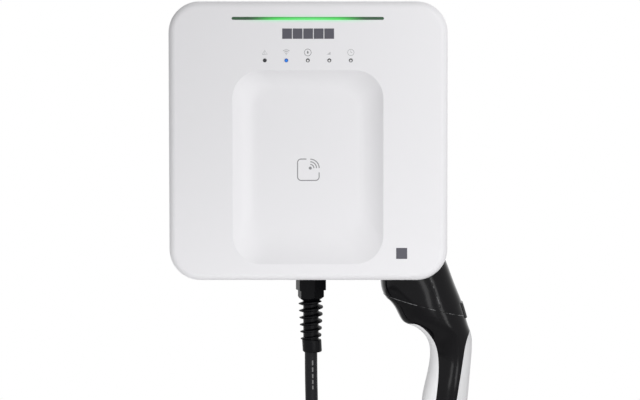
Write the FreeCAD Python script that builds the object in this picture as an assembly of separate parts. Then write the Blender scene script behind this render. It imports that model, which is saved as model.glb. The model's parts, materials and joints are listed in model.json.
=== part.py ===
import FreeCAD, Part
import math
import os

# A wall-mounted charging point for cars, with its cable and connector, in millimetres.
# X runs to the right and Z up, and the front faces -Y. The origin is on the wall, behind the middle of the case.
# Distances named "off" are measured from the wall, so a piece that is 20 off the wall lies at y = -20.

Vector = FreeCAD.Vector
ACROSS = Vector(0, 1, 0)
UP = Vector(0, 0, 1)

# Front cover: a shallow moulded shell with rounded corners
cover_width = 295.0
cover_height = 295.0
cover_corner = 33.0
cover_edge_round = 8.0
cover_wall = 3.0
cover_front_off = 120.0
cover_skirt = 25.0

# Dished field in the cover, measured at its rim and by how far each side slopes in to the floor
dish_half_width = 79.5
dish_top = 74.5
dish_bottom = -129.8
dish_depth = 9.0
dish_corner = 30.0
dish_side_slope = 25.0
dish_top_slope = 20.0
dish_bottom_slope = 36.0
dish_floor_corner = 22.0

# Light bar and indicators in the cover
light_length = 160.0
light_height = 3.2
light_z = 128.8
light_flange = 3.0
light_flange_thick = 2.0
light_fit = 0.1
lamp_size = 2.0
lamp_count = 12
indicator_count = 5
indicator_pitch = 22.6
indicator_z = 84.8
indicator_radius = 2.1
indicator_flange = 1.1
indicator_flange_thick = 1.5

# Rear housing: a tray that the cover closes
housing_gap = 0.5
housing_wall = 3.0
housing_back_off = 8.0
seal_thick = 3.0
seal_width = 4.0
rim_width = 6.5
rim_thick = 4.0
seal_inset = 2.0

# Printed boards and the pillars that carry them
board_thick = 1.6
board_inset = 5.0
pillar_radius = 4.0
pillar_height = 8.0
small_pillar_radius = 3.0
small_pillar_height = 3.0
pilot_radius = 1.25
screw_shank = 1.2
screw_head = 2.6
screw_head_high = 2.0
screw_length = 6.5

power_board_left = -89.0
power_board_bottom = -88.0
power_board_width = 125.0
power_board_height = 150.0
control_board_side_gap = 10.0
control_board_bottom = -20.0
control_board_width = 64.0
control_board_height = 110.0
antenna_z = -30.0
antenna_width = 84.0
antenna_height = 60.0

# Parts on the power board
relay_width = 30.0
relay_height = 40.0
relay_deep = 27.0
relay_bottom = -50.0
relay_x = 18.0
terminal_left = -76.0
terminal_bottom = -84.0
terminal_width = 38.0
terminal_height = 22.0
terminal_deep = 24.0
terminal_ways = 3
terminal_hole = 3.0
sensor_outer = 18.0
sensor_inner = 9.0
sensor_long = 14.0
sensor_bottom = -84.0
sensor_foot = 1.5
supply_left = -80.0
supply_bottom = 15.0
supply_width = 40.0
supply_height = 34.0
supply_deep = 20.0
earth_left = -34.0
earth_bottom = -86.0
earth_width = 12.0
earth_height = 9.0
earth_deep = 9.0
pilot_left = 23.0
pilot_bottom = -66.0
pilot_width = 10.0
pilot_height = 9.0
pilot_deep = 10.0
radio_width = 18.0
radio_height = 25.0
radio_deep = 3.2

# Wall bracket: one folded sheet with two raised channels that carry the housing
bracket_sheet = 2.5
bracket_half_width = 110.0
bracket_half_height = 135.0
channel_inner = 34.0
channel_outer = 56.0
channel_slope = 6.0
notch_inner = 62.0
notch_top = -92.0
wall_screw_x = 90.0
wall_screw_z = 70.0
wall_screw_radius = 3.0
case_screw_x = 44.0
case_screw_z = 125.0
case_screw_shank = 2.4
case_screw_head = 4.4
case_screw_head_high = 2.5
case_screw_fit = 0.15

# Rear entry for the supply cable
grommet_x = -85.0
grommet_z = -112.0
grommet_bore = 7.5
grommet_neck = 10.0
grommet_lip = 12.5
grommet_lip_thick = 2.0

# Screws that hold the cover, through its upper and lower edge
cover_screw_x = 38.0
cover_screw_from_skirt_end = 7.0
cover_screw_shank = 1.6
cover_screw_head = 3.3
cover_screw_cone = 1.7
cover_screw_length = 9.0
cover_screw_fit = 0.1
cover_boss_radius = 4.0
cover_boss_long = 8.0

# Charging cable and its gland
cable_diameter = 14.0
cable_plane_off = 58.0
cable_bore_fit = 0.1
cable_inner_top = -108.0
gland_flats = 30.0
gland_turn = 17.0
gland_hex_high = 6.0
gland_thread = 12.5
gland_thread_inside = 9.0
gland_thread_below = 8.0
gland_thread_fit = 0.2
gland_seal_thick = 1.5
gland_seal_radius = 15.5
locknut_high = 5.0
nut_gap = 0.5
nut_hex_high = 13.0
nut_small_flats = 26.0
nut_small_high = 9.0
nut_cone_high = 3.0
nut_cone_radius = 9.0
spiral_long = 43.0
spiral_turns = 5.5
spiral_core = 8.6
spiral_top_radius = 13.9
spiral_bottom_radius = 11.4
spiral_root_high = 5.0
spiral_tip_high = 1.2
spiral_root_depth = 1.0
spiral_start = 150.0
collar_long = 13.0
collar_top_radius = 10.0
collar_bottom_radius = 9.2

# Cores of the cable inside the case
core_radius = 2.0
pilot_core_radius = 1.2
core_spread = 3.2

# Connector: its own frame has t towards the back of the hand and s up the nose, tilted from the vertical
connector_tilt = 23.0
connector_from_side = 35.3
connector_from_bottom = 7.15
holster_face = 27.0
holster_side = 44.0
bay_front_off = 96.0

nose_radius = 27.0
nose_long = 38.0
nose_socket = 12.0
nose_flat = 21.0
holster_fit = 0.3
cup_wall = 3.0
cup_depth = 45.0
cup_flange = 37.5
cup_flange_thick = 3.0
cup_wall_fit = 0.3
cup_screw_ring = 34.2
cup_screw_count = 4
cup_screw_turn = 45.0
cup_screw_shank = 1.6
cup_screw_head = 2.9
cup_screw_cone = 1.4
cup_screw_length = 10.0
cup_boss_radius = 3.2
cup_boss_long = 8.0
head_rest_gap = 0.3

contact_outer = 4.4
contact_inner = 3.0
pilot_contact_outer = 2.8
pilot_contact_inner = 1.5
contact_depth = 32.0
contact_wall = 2.5
contact_recess = 2.0
contact_fit = 0.05

# Outline of the grip in the connector's frame: front point, back point and half thickness of each section
head_half_width = 37.0
head_half_thick = 32.0
grip_sections = [
    ((-37.1, 0.0), (36.7, -2.0), 32.0),
    ((-36.8, -24.0), (36.2, -26.0), 32.0),
    ((-33.8, -43.7), (35.6, -50.0), 31.0),
    ((-29.6, -54.0), (33.9, -70.0), 29.0),
    ((-21.8, -62.2), (32.3, -86.0), 26.5),
    ((-16.4, -73.0), (31.3, -95.4), 24.0),
    ((-15.4, -85.0), (27.2, -106.5), 22.0),
    ((-19.8, -98.5), (21.0, -119.0), 20.5),
    ((-30.8, -116.0), (12.8, -134.5), 20.0),
    ((-42.0, -131.5), (3.6, -152.0), 19.5),
    ((-52.0, -150.0), (-8.5, -172.0), 19.0),
    ((-58.5, -169.0), (-21.5, -188.5), 18.0),
    ((-62.4, -185.0), (-32.8, -201.8), 16.5),
]
head_fullness = 2.5
grip_fullness = 2.3
section_points = 16
section_seam = 90.0
loft_degree = 3

# Raised shell of the head, which ends in a slanted step
shell_raise = 0.7
shell_edge = [(-60.0, -3.0), (-37.7, -20.4), (-10.8, -46.3), (18.2, -68.8), (26.0, -56.0), (60.0, -52.0)]

# Borders of the two pale grips
inner_border = [
    (-50.0, -52.0), (-29.6, -53.6), (-20.9, -55.8), (-11.5, -70.6), (-9.1, -85.0),
    (-14.5, -108.0), (-25.4, -130.3), (-40.0, -155.0), (-66.0, -190.0),
]
outer_border = [
    (50.0, -82.0), (32.4, -87.7), (22.2, -97.6), (13.6, -110.8), (-4.0, -139.4), (-20.0, -166.0), (-36.0, -206.0),
]
border_reach = 90.0
grip_joint = 0.15

# Thumb button with its spring and switch
button_top = -56.8
button_bottom = -73.7
button_half_width = 9.0
button_clear = 0.35
button_proud = 1.2
button_flange_t = 27.5
button_flange_thick = 2.0
button_flange_wide = 1.6
button_travel = 3.0
button_stop_gap = 0.2
spring_radius = 3.0
spring_wire = 0.4
spring_turns = 4.0
spring_s = -60.5
switch_s = -69.0
switch_long = 8.0
switch_wide = 7.0
switch_high = 5.0
plunger_radius = 1.2
plunger_high = 1.2

# Rubber boot at the cable's end of the grip
boot_socket = 9.0
boot_socket_radius = 11.0
boot_fit = 0.15
boot_long = 40.0
boot_start_radius = 14.0
boot_end_radius = 9.0
boot_ring_count = 4
boot_ring_wide = 4.0
boot_ring_deep = 1.4
cable_in_boot = 12.0
cable_in_collar = 10.0

# Screws in the far side of the connector
body_screws = [(-27.0, -18.0), (24.0, -20.0), (11.0, -90.0), (-20.0, -139.0)]
body_screw_radius = 2.6
body_screw_deep = 9.0
body_screw_sink = 1.5

# The cable's free length: two straight legs and a neat coil that hangs on them
coil_x = 64.0
coil_z = -470.0
coil_mean_radius = 78.0
coil_half_width = 28.0
coil_half_height = 19.2
coil_section_corner = 15.0
tie_gap = 1.1
tie_thick = 1.8
tie_wide = 20.0
gland_leg = [(0.0, -262.0), (1.2, -305.0), (-4.0, -350.0), (-11.5, -396.0), (-14.0, -440.0)]
connector_leg = [(140.9, -405.0), (142.0, -440.0)]

# Places that follow from the sizes above
half_width = cover_width / 2
half_height = cover_height / 2
front_y = -cover_front_off
cover_inner_y = front_y + cover_wall
skirt_end_y = front_y + cover_skirt
housing_half_width = half_width - cover_wall - housing_gap
housing_half_height = half_height - cover_wall - housing_gap
housing_corner = cover_corner - cover_wall - housing_gap
housing_back_y = -housing_back_off
housing_floor_y = housing_back_y - housing_wall
housing_rim_y = cover_inner_y + seal_thick
inner_half_width = housing_half_width - housing_wall
inner_half_height = housing_half_height - housing_wall
cable_y = -cable_plane_off
cable_radius = cable_diameter / 2
cable_bore = cable_radius + cable_bore_fit
connector_x = half_width - connector_from_side
connector_z = connector_from_bottom - half_height
cup_inner = nose_radius + holster_fit
cup_outer = cup_inner + cup_wall
head_top = holster_face - cup_flange_thick - head_rest_gap
board_y = housing_floor_y - pillar_height
board_face_y = board_y - board_thick
button_floor_t = (
    button_flange_t - button_flange_thick - button_travel - button_stop_gap - plunger_high - switch_high)


def solids_of(shapes):
    """One group of separate solids."""
    return Part.makeCompound(list(shapes))


def rod(radius, start, end):
    """Round bar between two points."""
    run = end.sub(start)
    return Part.makeCylinder(radius, run.Length, start, run)


def cone(start_radius, end_radius, start, end):
    """Tapered round bar between two points."""
    run = end.sub(start)
    return Part.makeCone(start_radius, end_radius, run.Length, start, run)


def block(x_low, x_high, y_low, y_high, z_low, z_high):
    """Rectangular block between its limits."""
    return Part.makeBox(x_high - x_low, y_high - y_low, z_high - z_low, Vector(x_low, y_low, z_low))


def round_outline(left, right, bottom, top, corner, y):
    """Closed outline of a rectangle with round corners, in the plane at y."""
    centres = [
        (right - corner, top - corner),
        (left + corner, top - corner),
        (left + corner, bottom + corner),
        (right - corner, bottom + corner),
    ]
    arcs = []
    for k, (x, z) in enumerate(centres):
        ends = []
        for step in (0, 45, 90):
            angle = math.radians(90 * k + step)
            ends.append(Vector(x + corner * math.cos(angle), y, z + corner * math.sin(angle)))
        arcs.append(ends)
    edges = []
    for k, ends in enumerate(arcs):
        edges.append(Part.Arc(*ends).toShape())
        edges.append(Part.LineSegment(ends[2], arcs[(k + 1) % 4][0]).toShape())
    return Part.Wire(edges)


def round_slab(half_x, half_z, corner, y_low, y_high, x=0.0, z=0.0):
    """Slab with round corners, centred on x and z."""
    outline = round_outline(x - half_x, x + half_x, z - half_z, z + half_z, corner, y_low)
    return Part.Face(outline).extrude(Vector(0, y_high - y_low, 0))


def hexagon(flats, turn, z_low, z_high, x, y):
    """Upright hexagonal bar, turned from the direction of +Y."""
    reach = flats / 2 / math.cos(math.radians(30))
    corners = []
    for k in range(6):
        angle = math.radians(turn + 60 * k - 90)
        corners.append(Vector(x + reach * math.cos(angle), y + reach * math.sin(angle), z_low))
    outline = Part.makePolygon(corners + corners[:1])
    return Part.Face(outline).extrude(Vector(0, 0, z_high - z_low))


def edges_at_y(shape, y):
    """Edges that lie wholly in the plane at y."""
    return [e for e in shape.Edges if all(abs(v.Point.y - y) < 1e-6 for v in e.Vertexes)]


def in_connector_place(shape):
    """Carries a shape from the connector's own frame to its place in the holster."""
    placed = shape.copy()
    placed.rotate(Vector(0, 0, 0), ACROSS, -connector_tilt)
    placed.translate(Vector(connector_x, cable_y, connector_z))
    return placed


def connector_point(t, s):
    """Place of a point of the connector's frame, as x and z."""
    tilt = math.radians(connector_tilt)
    x = connector_x + t * math.cos(tilt) - s * math.sin(tilt)
    z = connector_z + t * math.sin(tilt) + s * math.cos(tilt)
    return x, z


# Front cover
def dish(grow, sink):
    """Space of the dished field, steep at its rim and level at its floor."""
    outlines = []
    for step in (-0.12, 0.0, 0.33, 0.66, 1.0):
        depth = dish_depth * (1 - (1 - step) ** 2)
        outlines.append(round_outline(
            -dish_half_width - grow + dish_side_slope * step,
            dish_half_width + grow - dish_side_slope * step,
            dish_bottom - grow + dish_bottom_slope * step,
            dish_top + grow - dish_top_slope * step,
            dish_corner + grow + (dish_floor_corner - dish_corner) * step,
            front_y + depth + sink,
        ))
    return Part.makeLoft(outlines, True, False)


def indicator_places():
    """X of each indicator, from left to right."""
    middle = (indicator_count - 1) / 2
    return [(k - middle) * indicator_pitch for k in range(indicator_count)]


def cover_pillars(places, y):
    """Small pillars on the cover's inner side, each with a pilot hole."""
    pillars = []
    holes = []
    for x, z, root_y in places:
        pillars.append(rod(small_pillar_radius, Vector(x, root_y - cover_wall / 2, z), Vector(x, y, z)))
        holes.append(rod(pilot_radius, Vector(x, root_y, z), Vector(x, y + 1, z)))
    return pillars, holes


light_board_y = cover_inner_y + light_flange_thick
indicator_board_y = cover_inner_y + indicator_flange_thick
dish_back_y = front_y + dish_depth + cover_wall
antenna_y = dish_back_y + small_pillar_height
light_board_half = light_length / 2 + light_flange + 2 * small_pillar_radius + 1
indicator_board_half = (indicator_count - 1) / 2 * indicator_pitch + indicator_radius + 4 * small_pillar_radius
light_pillar_x = light_board_half - small_pillar_radius
indicator_pillar_x = indicator_board_half - small_pillar_radius
antenna_pillar_x = antenna_width / 2 - board_inset
antenna_pillar_z = antenna_height / 2 - board_inset


def light_pillar_places():
    return [(side * light_pillar_x, light_z, cover_inner_y) for side in (-1, 1)]


def indicator_pillar_places():
    return [(side * indicator_pillar_x, indicator_z, cover_inner_y) for side in (-1, 1)]


def antenna_pillar_places():
    places = []
    for side in (-1, 1):
        for level in (-1, 1):
            places.append((side * antenna_pillar_x, antenna_z + level * antenna_pillar_z, dish_back_y))
    return places


def cover_screw_places():
    """X, side and outer face of each screw in the cover's upper and lower edge."""
    return [(x, level) for x in (-cover_screw_x, cover_screw_x) for level in (-1, 1)]


cover_screw_y = skirt_end_y - cover_screw_from_skirt_end


def edge_rod(radius, x, level, start, end, end_radius=None):
    """Upright bar through the case's lower or upper edge, from start to end below the outer face."""
    first = Vector(x, cover_screw_y, level * (half_height - start))
    last = Vector(x, cover_screw_y, level * (half_height - end))
    if end_radius is None:
        return rod(radius, first, last)
    return cone(radius, end_radius, first, last)


def front_cover():
    outer = round_slab(half_width, half_height, cover_corner, front_y, skirt_end_y)
    outer = outer.makeFillet(cover_edge_round, edges_at_y(outer, front_y))
    hollow = round_slab(
        half_width - cover_wall, half_height - cover_wall, cover_corner - cover_wall, cover_inner_y, skirt_end_y + 1)
    hollow = hollow.makeFillet(cover_edge_round - cover_wall, edges_at_y(hollow, cover_inner_y))
    shell = outer.cut(hollow)
    backing = dish(cover_wall, cover_wall).common(block(
        -half_width, half_width, front_y + cover_wall / 2, 0, -half_height, half_height))
    shell = shell.fuse(backing).cut(dish(0, 0))
    holes = [round_slab(
        light_length / 2, light_height / 2, light_height / 2 - 0.01, front_y - 1, cover_inner_y + 1, 0, light_z)]
    for x in indicator_places():
        holes.append(rod(indicator_radius, Vector(x, front_y - 1, indicator_z), Vector(x, cover_inner_y + 1, indicator_z)))
    for x, level in cover_screw_places():
        holes.append(edge_rod(cover_screw_shank + 2 * cover_screw_fit, x, level, -1, cover_wall + 1))
        holes.append(edge_rod(
            cover_screw_head + cover_screw_fit, x, level, 0, cover_screw_cone, cover_screw_shank + cover_screw_fit))
    pillars = []
    for places, y in (
            (light_pillar_places(), light_board_y),
            (indicator_pillar_places(), indicator_board_y),
            (antenna_pillar_places(), antenna_y)):
        more, drilled = cover_pillars(places, y)
        pillars += more
        holes += drilled
    return shell.fuse(pillars).cut(holes).removeSplitter()


def cover_seal():
    outer_x = inner_half_width - seal_inset
    outer_z = inner_half_height - seal_inset
    corner = housing_corner - housing_wall - seal_inset
    outer = round_slab(outer_x, outer_z, corner, cover_inner_y, housing_rim_y)
    inner = round_slab(
        outer_x - seal_width, outer_z - seal_width, corner - seal_width, cover_inner_y - 1, housing_rim_y + 1)
    return outer.cut(inner)


def light_bar():
    """Clear bar: its tongue fills the slot, its flange seats behind the cover, and lamps shine into its channel."""
    half = light_length / 2
    tongue_high = light_height / 2 - light_fit
    tongue = round_slab(half - light_fit, tongue_high, tongue_high - 0.01, front_y, cover_inner_y + 0.5, 0, light_z)
    flange_high = light_height / 2 + light_flange
    flange = round_slab(half + light_flange, flange_high, light_flange, cover_inner_y, light_board_y, 0, light_z)
    channel = block(
        -half, half, light_board_y - lamp_size / 2 - light_fit, light_board_y + 1,
        light_z - lamp_size / 2 - light_fit, light_z + lamp_size / 2 + light_fit)
    return tongue.fuse(flange).cut(channel).removeSplitter()


def light_bar_board():
    high = light_height / 2 + light_flange
    board = block(
        -light_board_half, light_board_half, light_board_y, light_board_y + board_thick, light_z - high, light_z + high)
    lamps = []
    for k in range(lamp_count):
        x = (k - (lamp_count - 1) / 2) * (light_length - 2 * lamp_size) / lamp_count
        lamps.append(block(
            x - lamp_size / 2, x + lamp_size / 2, light_board_y - lamp_size / 2, light_board_y,
            light_z - lamp_size / 2, light_z + lamp_size / 2))
    return board.fuse(lamps).cut(board_holes(light_pillar_places(), light_board_y)).removeSplitter()


def board_holes(places, y):
    """Clearance holes for board screws, right through a board at y."""
    radius = screw_shank + 0.3
    return [rod(radius, Vector(p[0], y - 1, p[1]), Vector(p[0], y + board_thick + 1, p[1])) for p in places]


def indicator_lens(x):
    """Round light pipe with a flange that seats behind the cover."""
    pipe = rod(indicator_radius - light_fit, Vector(x, front_y - 0.2, indicator_z), Vector(x, cover_inner_y + 0.5, indicator_z))
    flange = rod(
        indicator_radius + indicator_flange, Vector(x, cover_inner_y, indicator_z), Vector(x, indicator_board_y, indicator_z))
    return pipe.fuse(flange).removeSplitter()


def indicator_board():
    high = indicator_radius + 2 * indicator_flange
    board = block(
        -indicator_board_half, indicator_board_half, indicator_board_y, indicator_board_y + board_thick,
        indicator_z - high, indicator_z + high)
    return board.cut(board_holes(indicator_pillar_places(), indicator_board_y))


def antenna_board():
    """Reader board with the square windings of its antenna as raised tracks."""
    board = round_slab(antenna_width / 2, antenna_height / 2, 3, antenna_y, antenna_y + board_thick, 0, antenna_z)
    tracks = []
    for k in range(3):
        half_x = antenna_width / 2 - 10 - 4 * k
        half_z = antenna_height / 2 - 10 - 4 * k
        ring = round_slab(half_x, half_z, 3, antenna_y + board_thick, antenna_y + board_thick + 0.4, 0, antenna_z)
        tracks.append(ring.cut(round_slab(
            half_x - 1.6, half_z - 1.6, 2, antenna_y, antenna_y + board_thick + 1, 0, antenna_z)))
    return board.fuse(tracks).cut(board_holes(antenna_pillar_places(), antenna_y)).removeSplitter()


def board_screw(x, y, z, towards):
    """Pan-head screw whose head sits on a board at y and whose shank points along towards."""
    seat = Vector(x, y, z)
    way = Vector(0, towards, 0)
    shank = rod(screw_shank, seat, seat.add(way * screw_length))
    head = rod(screw_head, seat.sub(way * screw_head_high), seat)
    return head.fuse(shank).removeSplitter()


def cover_board_screws():
    screws = []
    for places, y in (
            (light_pillar_places(), light_board_y),
            (indicator_pillar_places(), indicator_board_y),
            (antenna_pillar_places(), antenna_y)):
        for x, z, root_y in places:
            reach = min(screw_length, y + board_thick - root_y - 0.3)
            seat = Vector(x, y + board_thick, z)
            shank = rod(screw_shank, seat, seat.sub(ACROSS * reach))
            head = rod(screw_head, seat, seat.add(ACROSS * screw_head_high))
            screws.append(head.fuse(shank).removeSplitter())
    return solids_of(screws)


# Rear housing
def bay(face, side, front_off):
    """Corner space for the connector, bounded by the holster wall above it and a wall beside it."""
    far = 3 * cover_width
    space = block(-side, far, -far, far, -far, face)
    space = in_connector_place(space)
    return space.common(block(-far, far, -front_off, far, -far, far))


def power_pillar_places():
    places = []
    for x in (power_board_left + board_inset, power_board_left + power_board_width - board_inset):
        for z in (power_board_bottom + board_inset, power_board_bottom + power_board_height - board_inset):
            places.append((x, z))
    return places


control_board_right = inner_half_width - control_board_side_gap
control_board_left = control_board_right - control_board_width


def control_pillar_places():
    places = []
    for x in (control_board_left + board_inset, control_board_right - board_inset):
        for z in (control_board_bottom + board_inset, control_board_bottom + control_board_height - board_inset):
            places.append((x, z))
    return places


def case_screw_places():
    return [(x, z) for x in (-case_screw_x, case_screw_x) for z in (-case_screw_z, case_screw_z)]


def cup_screw_places():
    """T and y of each holster screw in the connector's frame."""
    places = []
    for k in range(cup_screw_count):
        angle = math.radians(cup_screw_turn + 360 * k / cup_screw_count)
        places.append((cup_screw_ring * math.cos(angle), cup_screw_ring * math.sin(angle)))
    return places


def rear_housing():
    outer = round_slab(housing_half_width, housing_half_height, housing_corner, housing_rim_y, housing_back_y)
    inner_corner = housing_corner - housing_wall
    cavity = round_slab(
        inner_half_width, inner_half_height, inner_corner, housing_rim_y + rim_thick, housing_floor_y)
    mouth = round_slab(
        inner_half_width - rim_width, inner_half_height - rim_width, inner_corner - rim_width,
        housing_rim_y - 1, housing_rim_y + rim_thick + 1)
    walls = bay(holster_face + housing_wall, holster_side + housing_wall, bay_front_off + housing_wall)
    shell = outer.cut(cavity.cut(walls)).cut(mouth).cut(bay(holster_face, holster_side, bay_front_off))
    bosses = []
    holes = []
    for x, z in power_pillar_places() + control_pillar_places():
        bosses.append(rod(pillar_radius, Vector(x, housing_floor_y + 1, z), Vector(x, board_y, z)))
        holes.append(rod(pilot_radius, Vector(x, housing_floor_y, z), Vector(x, board_y - 1, z)))
    for x, level in cover_screw_places():
        inner = cover_wall + housing_gap + housing_wall
        bosses.append(edge_rod(cover_boss_radius, x, level, inner - 1, inner + cover_boss_long))
        holes.append(edge_rod(
            cover_screw_shank + cover_screw_fit, x, level, cover_wall, cover_screw_length + cover_screw_fit))
    for t, y in cup_screw_places():
        bosses.append(in_connector_place(rod(
            cup_boss_radius, Vector(t, y, holster_face + 1), Vector(t, y, holster_face + cup_boss_long))))
        top = holster_face - cup_flange_thick + cup_screw_length + 0.2
        holes.append(in_connector_place(rod(cup_screw_shank + 0.05, Vector(t, y, holster_face - 1), Vector(t, y, top))))
    holes.append(in_connector_place(rod(
        cup_outer + cup_wall_fit, Vector(0, 0, holster_face - 1), Vector(0, 0, holster_face + housing_wall + 1))))
    for x, z in case_screw_places():
        holes.append(rod(
            case_screw_shank + case_screw_fit, Vector(x, housing_floor_y - 1, z), Vector(x, housing_back_y + 1, z)))
    holes.append(rod(
        grommet_neck, Vector(grommet_x, housing_floor_y - 1, grommet_z), Vector(grommet_x, housing_back_y + 1, grommet_z)))
    holes.append(rod(
        gland_thread + gland_thread_fit, Vector(0, cable_y, -housing_half_height - 1), Vector(0, cable_y, -inner_half_height + 1)))
    return shell.fuse(bosses).cut(holes).removeSplitter()


def cover_screws():
    screws = []
    for x, level in cover_screw_places():
        head = edge_rod(cover_screw_head, x, level, 0.1, cover_screw_cone, cover_screw_shank)
        shank = edge_rod(cover_screw_shank, x, level, cover_screw_cone - 0.1, cover_screw_length)
        screws.append(head.fuse(shank).removeSplitter())
    return solids_of(screws)


def housing_board_screws():
    screws = []
    for x, z in power_pillar_places() + control_pillar_places():
        screws.append(board_screw(x, board_face_y, z, 1))
    return solids_of(screws)


# Boards and what they carry
def board(left, bottom, width, height, places, parts):
    """Printed board on the pillars of the housing, with soldered parts given as x, z, width, height and depth."""
    plate = block(left, left + width, board_face_y, board_y, bottom, bottom + height)
    chips = []
    for x, z, wide, high, deep in parts:
        chips.append(block(x, x + wide, board_face_y - deep, board_face_y, z, z + high))
    return plate.fuse(chips).cut(board_holes(places, board_face_y)).removeSplitter()


def on_power_board(left, bottom, width, height, deep):
    """Block that stands on the power board."""
    return block(left, left + width, board_face_y - deep, board_face_y, bottom, bottom + height)


def power_board():
    parts = [
        (pilot_left, pilot_bottom, pilot_width, pilot_height, pilot_deep),
        (power_board_left + 18, power_board_bottom + 70, 16, 26, 12),
        (power_board_left + 44, power_board_bottom + 66, 12, 12, 9),
        (power_board_left + 94, power_board_bottom + 106, 14, 20, 3),
    ]
    return board(
        power_board_left, power_board_bottom, power_board_width, power_board_height, power_pillar_places(), parts)


def control_board():
    parts = [
        (control_board_left + 22, control_board_bottom + 40, 16, 16, 1.5),
        (control_board_left + 8, control_board_bottom + 64, 10, 8, 1.5),
        (control_board_left + 48, control_board_bottom + 30, 8, 34, 8),
        (control_board_left + 14, control_board_bottom + 14, 26, 9, 7),
    ]
    return board(
        control_board_left, control_board_bottom, control_board_width, control_board_height,
        control_pillar_places(), parts)


def radio_module():
    """Screened radio can with a low board of its own."""
    left = control_board_left + 30
    bottom = control_board_bottom + control_board_height - radio_height - 2 * board_inset
    base = block(left, left + radio_width, board_face_y - 0.8, board_face_y, bottom, bottom + radio_height)
    can = block(
        left + 1, left + radio_width - 1, board_face_y - radio_deep, board_face_y - 0.8, bottom + 1, bottom + radio_height - 7)
    return base.fuse(can).removeSplitter()


def power_relays():
    relays = []
    for x in (-relay_x, relay_x):
        body = on_power_board(x - relay_width / 2, relay_bottom, relay_width, relay_height, relay_deep)
        lid_y = board_face_y - relay_deep
        body = body.makeFillet(2, edges_at_y(body, lid_y))
        groove = block(x - relay_width, x + relay_width, lid_y - 1, lid_y + 0.8, relay_bottom + 12, relay_bottom + 13.5)
        relays.append(body.cut(groove))
    return solids_of(relays)


def supply_terminals():
    """Screw terminal block with a row of wire mouths below and screw wells in front."""
    body = on_power_board(terminal_left, terminal_bottom, terminal_width, terminal_height, terminal_deep)
    pitch = terminal_width / terminal_ways
    holes = []
    for k in range(terminal_ways):
        x = terminal_left + pitch * (k + 0.5)
        mouth_y = board_face_y - terminal_deep * 0.4
        middle_z = terminal_bottom + terminal_height / 2
        holes.append(rod(terminal_hole, Vector(x, mouth_y, terminal_bottom - 1), Vector(x, mouth_y, middle_z + terminal_hole)))
        holes.append(rod(
            terminal_hole, Vector(x, board_face_y - terminal_deep - 1, middle_z), Vector(x, mouth_y, middle_z)))
    return body.cut(holes)


sensor_y = board_face_y - sensor_foot - sensor_outer


def current_sensor():
    """Ring that the two live cores pass through, on a foot."""
    low = Vector(0, sensor_y, sensor_bottom)
    high = Vector(0, sensor_y, sensor_bottom + sensor_long)
    foot = block(
        -sensor_outer * 0.6, sensor_outer * 0.6, sensor_y, board_face_y, sensor_bottom, sensor_bottom + sensor_long)
    return rod(sensor_outer, low, high).fuse(foot).cut(rod(sensor_inner, low.sub(UP), high.add(UP))).removeSplitter()


def supply_module():
    body = on_power_board(supply_left, supply_bottom, supply_width, supply_height, supply_deep)
    return body.makeFillet(1.5, edges_at_y(body, board_face_y - supply_deep))


def earth_bar():
    body = on_power_board(earth_left, earth_bottom, earth_width, earth_height, earth_deep)
    x = earth_left + earth_width / 2
    z = earth_bottom + earth_height / 2
    well = rod(2, Vector(x, board_face_y - earth_deep - 1, z), Vector(x, board_face_y - earth_deep + 3, z))
    return body.cut(well)


# Wall bracket, screws and grommet
def wall_bracket():
    raised_low = housing_back_y
    raised_high = housing_back_y + bracket_sheet
    front = []
    back = []
    for x, low, high in (
            (channel_inner - channel_slope, -bracket_sheet, 0.0),
            (channel_inner, raised_low, raised_high),
            (channel_outer, raised_low, raised_high),
            (channel_outer + channel_slope, -bracket_sheet, 0.0),
            (bracket_half_width, -bracket_sheet, 0.0)):
        front.append((x, low))
        back.append((x, high))
    right = front + back[::-1]
    outline = [(-x, y) for x, y in front[::-1]] + front + back[::-1] + [(-x, y) for x, y in back]
    corners = [Vector(x, y, -bracket_half_height) for x, y in outline]
    sheet = Part.Face(Part.makePolygon(corners + corners[:1])).extrude(UP * (2 * bracket_half_height))
    cuts = []
    for side in (-1, 1):
        edge_low, edge_high = sorted((side * notch_inner, side * (bracket_half_width + 1)))
        cuts.append(block(edge_low, edge_high, housing_back_y, 1, -bracket_half_height - 1, notch_top))
        for level in (-1, 1):
            x, z = side * wall_screw_x, level * wall_screw_z
            cuts.append(rod(wall_screw_radius, Vector(x, -bracket_sheet - 1, z), Vector(x, 1, z)))
    for x, z in case_screw_places():
        cuts.append(rod(case_screw_shank + case_screw_fit, Vector(x, raised_low - 1, z), Vector(x, raised_high + 1, z)))
    return sheet.cut(cuts)


def bracket_screws():
    screws = []
    for x, z in case_screw_places():
        seat = Vector(x, housing_floor_y, z)
        end = Vector(x, housing_back_y + bracket_sheet + 1.5, z)
        head = rod(case_screw_head, Vector(x, housing_floor_y - case_screw_head_high, z), seat)
        screws.append(head.fuse(rod(case_screw_shank, seat, end)).removeSplitter())
    return solids_of(screws)


def supply_grommet():
    """Rubber sleeve with a lip on each side of the housing's back wall."""
    low = housing_floor_y - grommet_lip_thick
    high = housing_back_y + grommet_lip_thick
    parts = [
        rod(grommet_neck - 0.05, Vector(grommet_x, low, grommet_z), Vector(grommet_x, high, grommet_z)),
        rod(grommet_lip, Vector(grommet_x, low, grommet_z), Vector(grommet_x, housing_floor_y, grommet_z)),
        rod(grommet_lip, Vector(grommet_x, housing_back_y, grommet_z), Vector(grommet_x, high, grommet_z)),
    ]
    bore = rod(grommet_bore, Vector(grommet_x, low - 1, grommet_z), Vector(grommet_x, high + 1, grommet_z))
    return parts[0].fuse(parts[1:]).cut(bore).removeSplitter()


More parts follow.
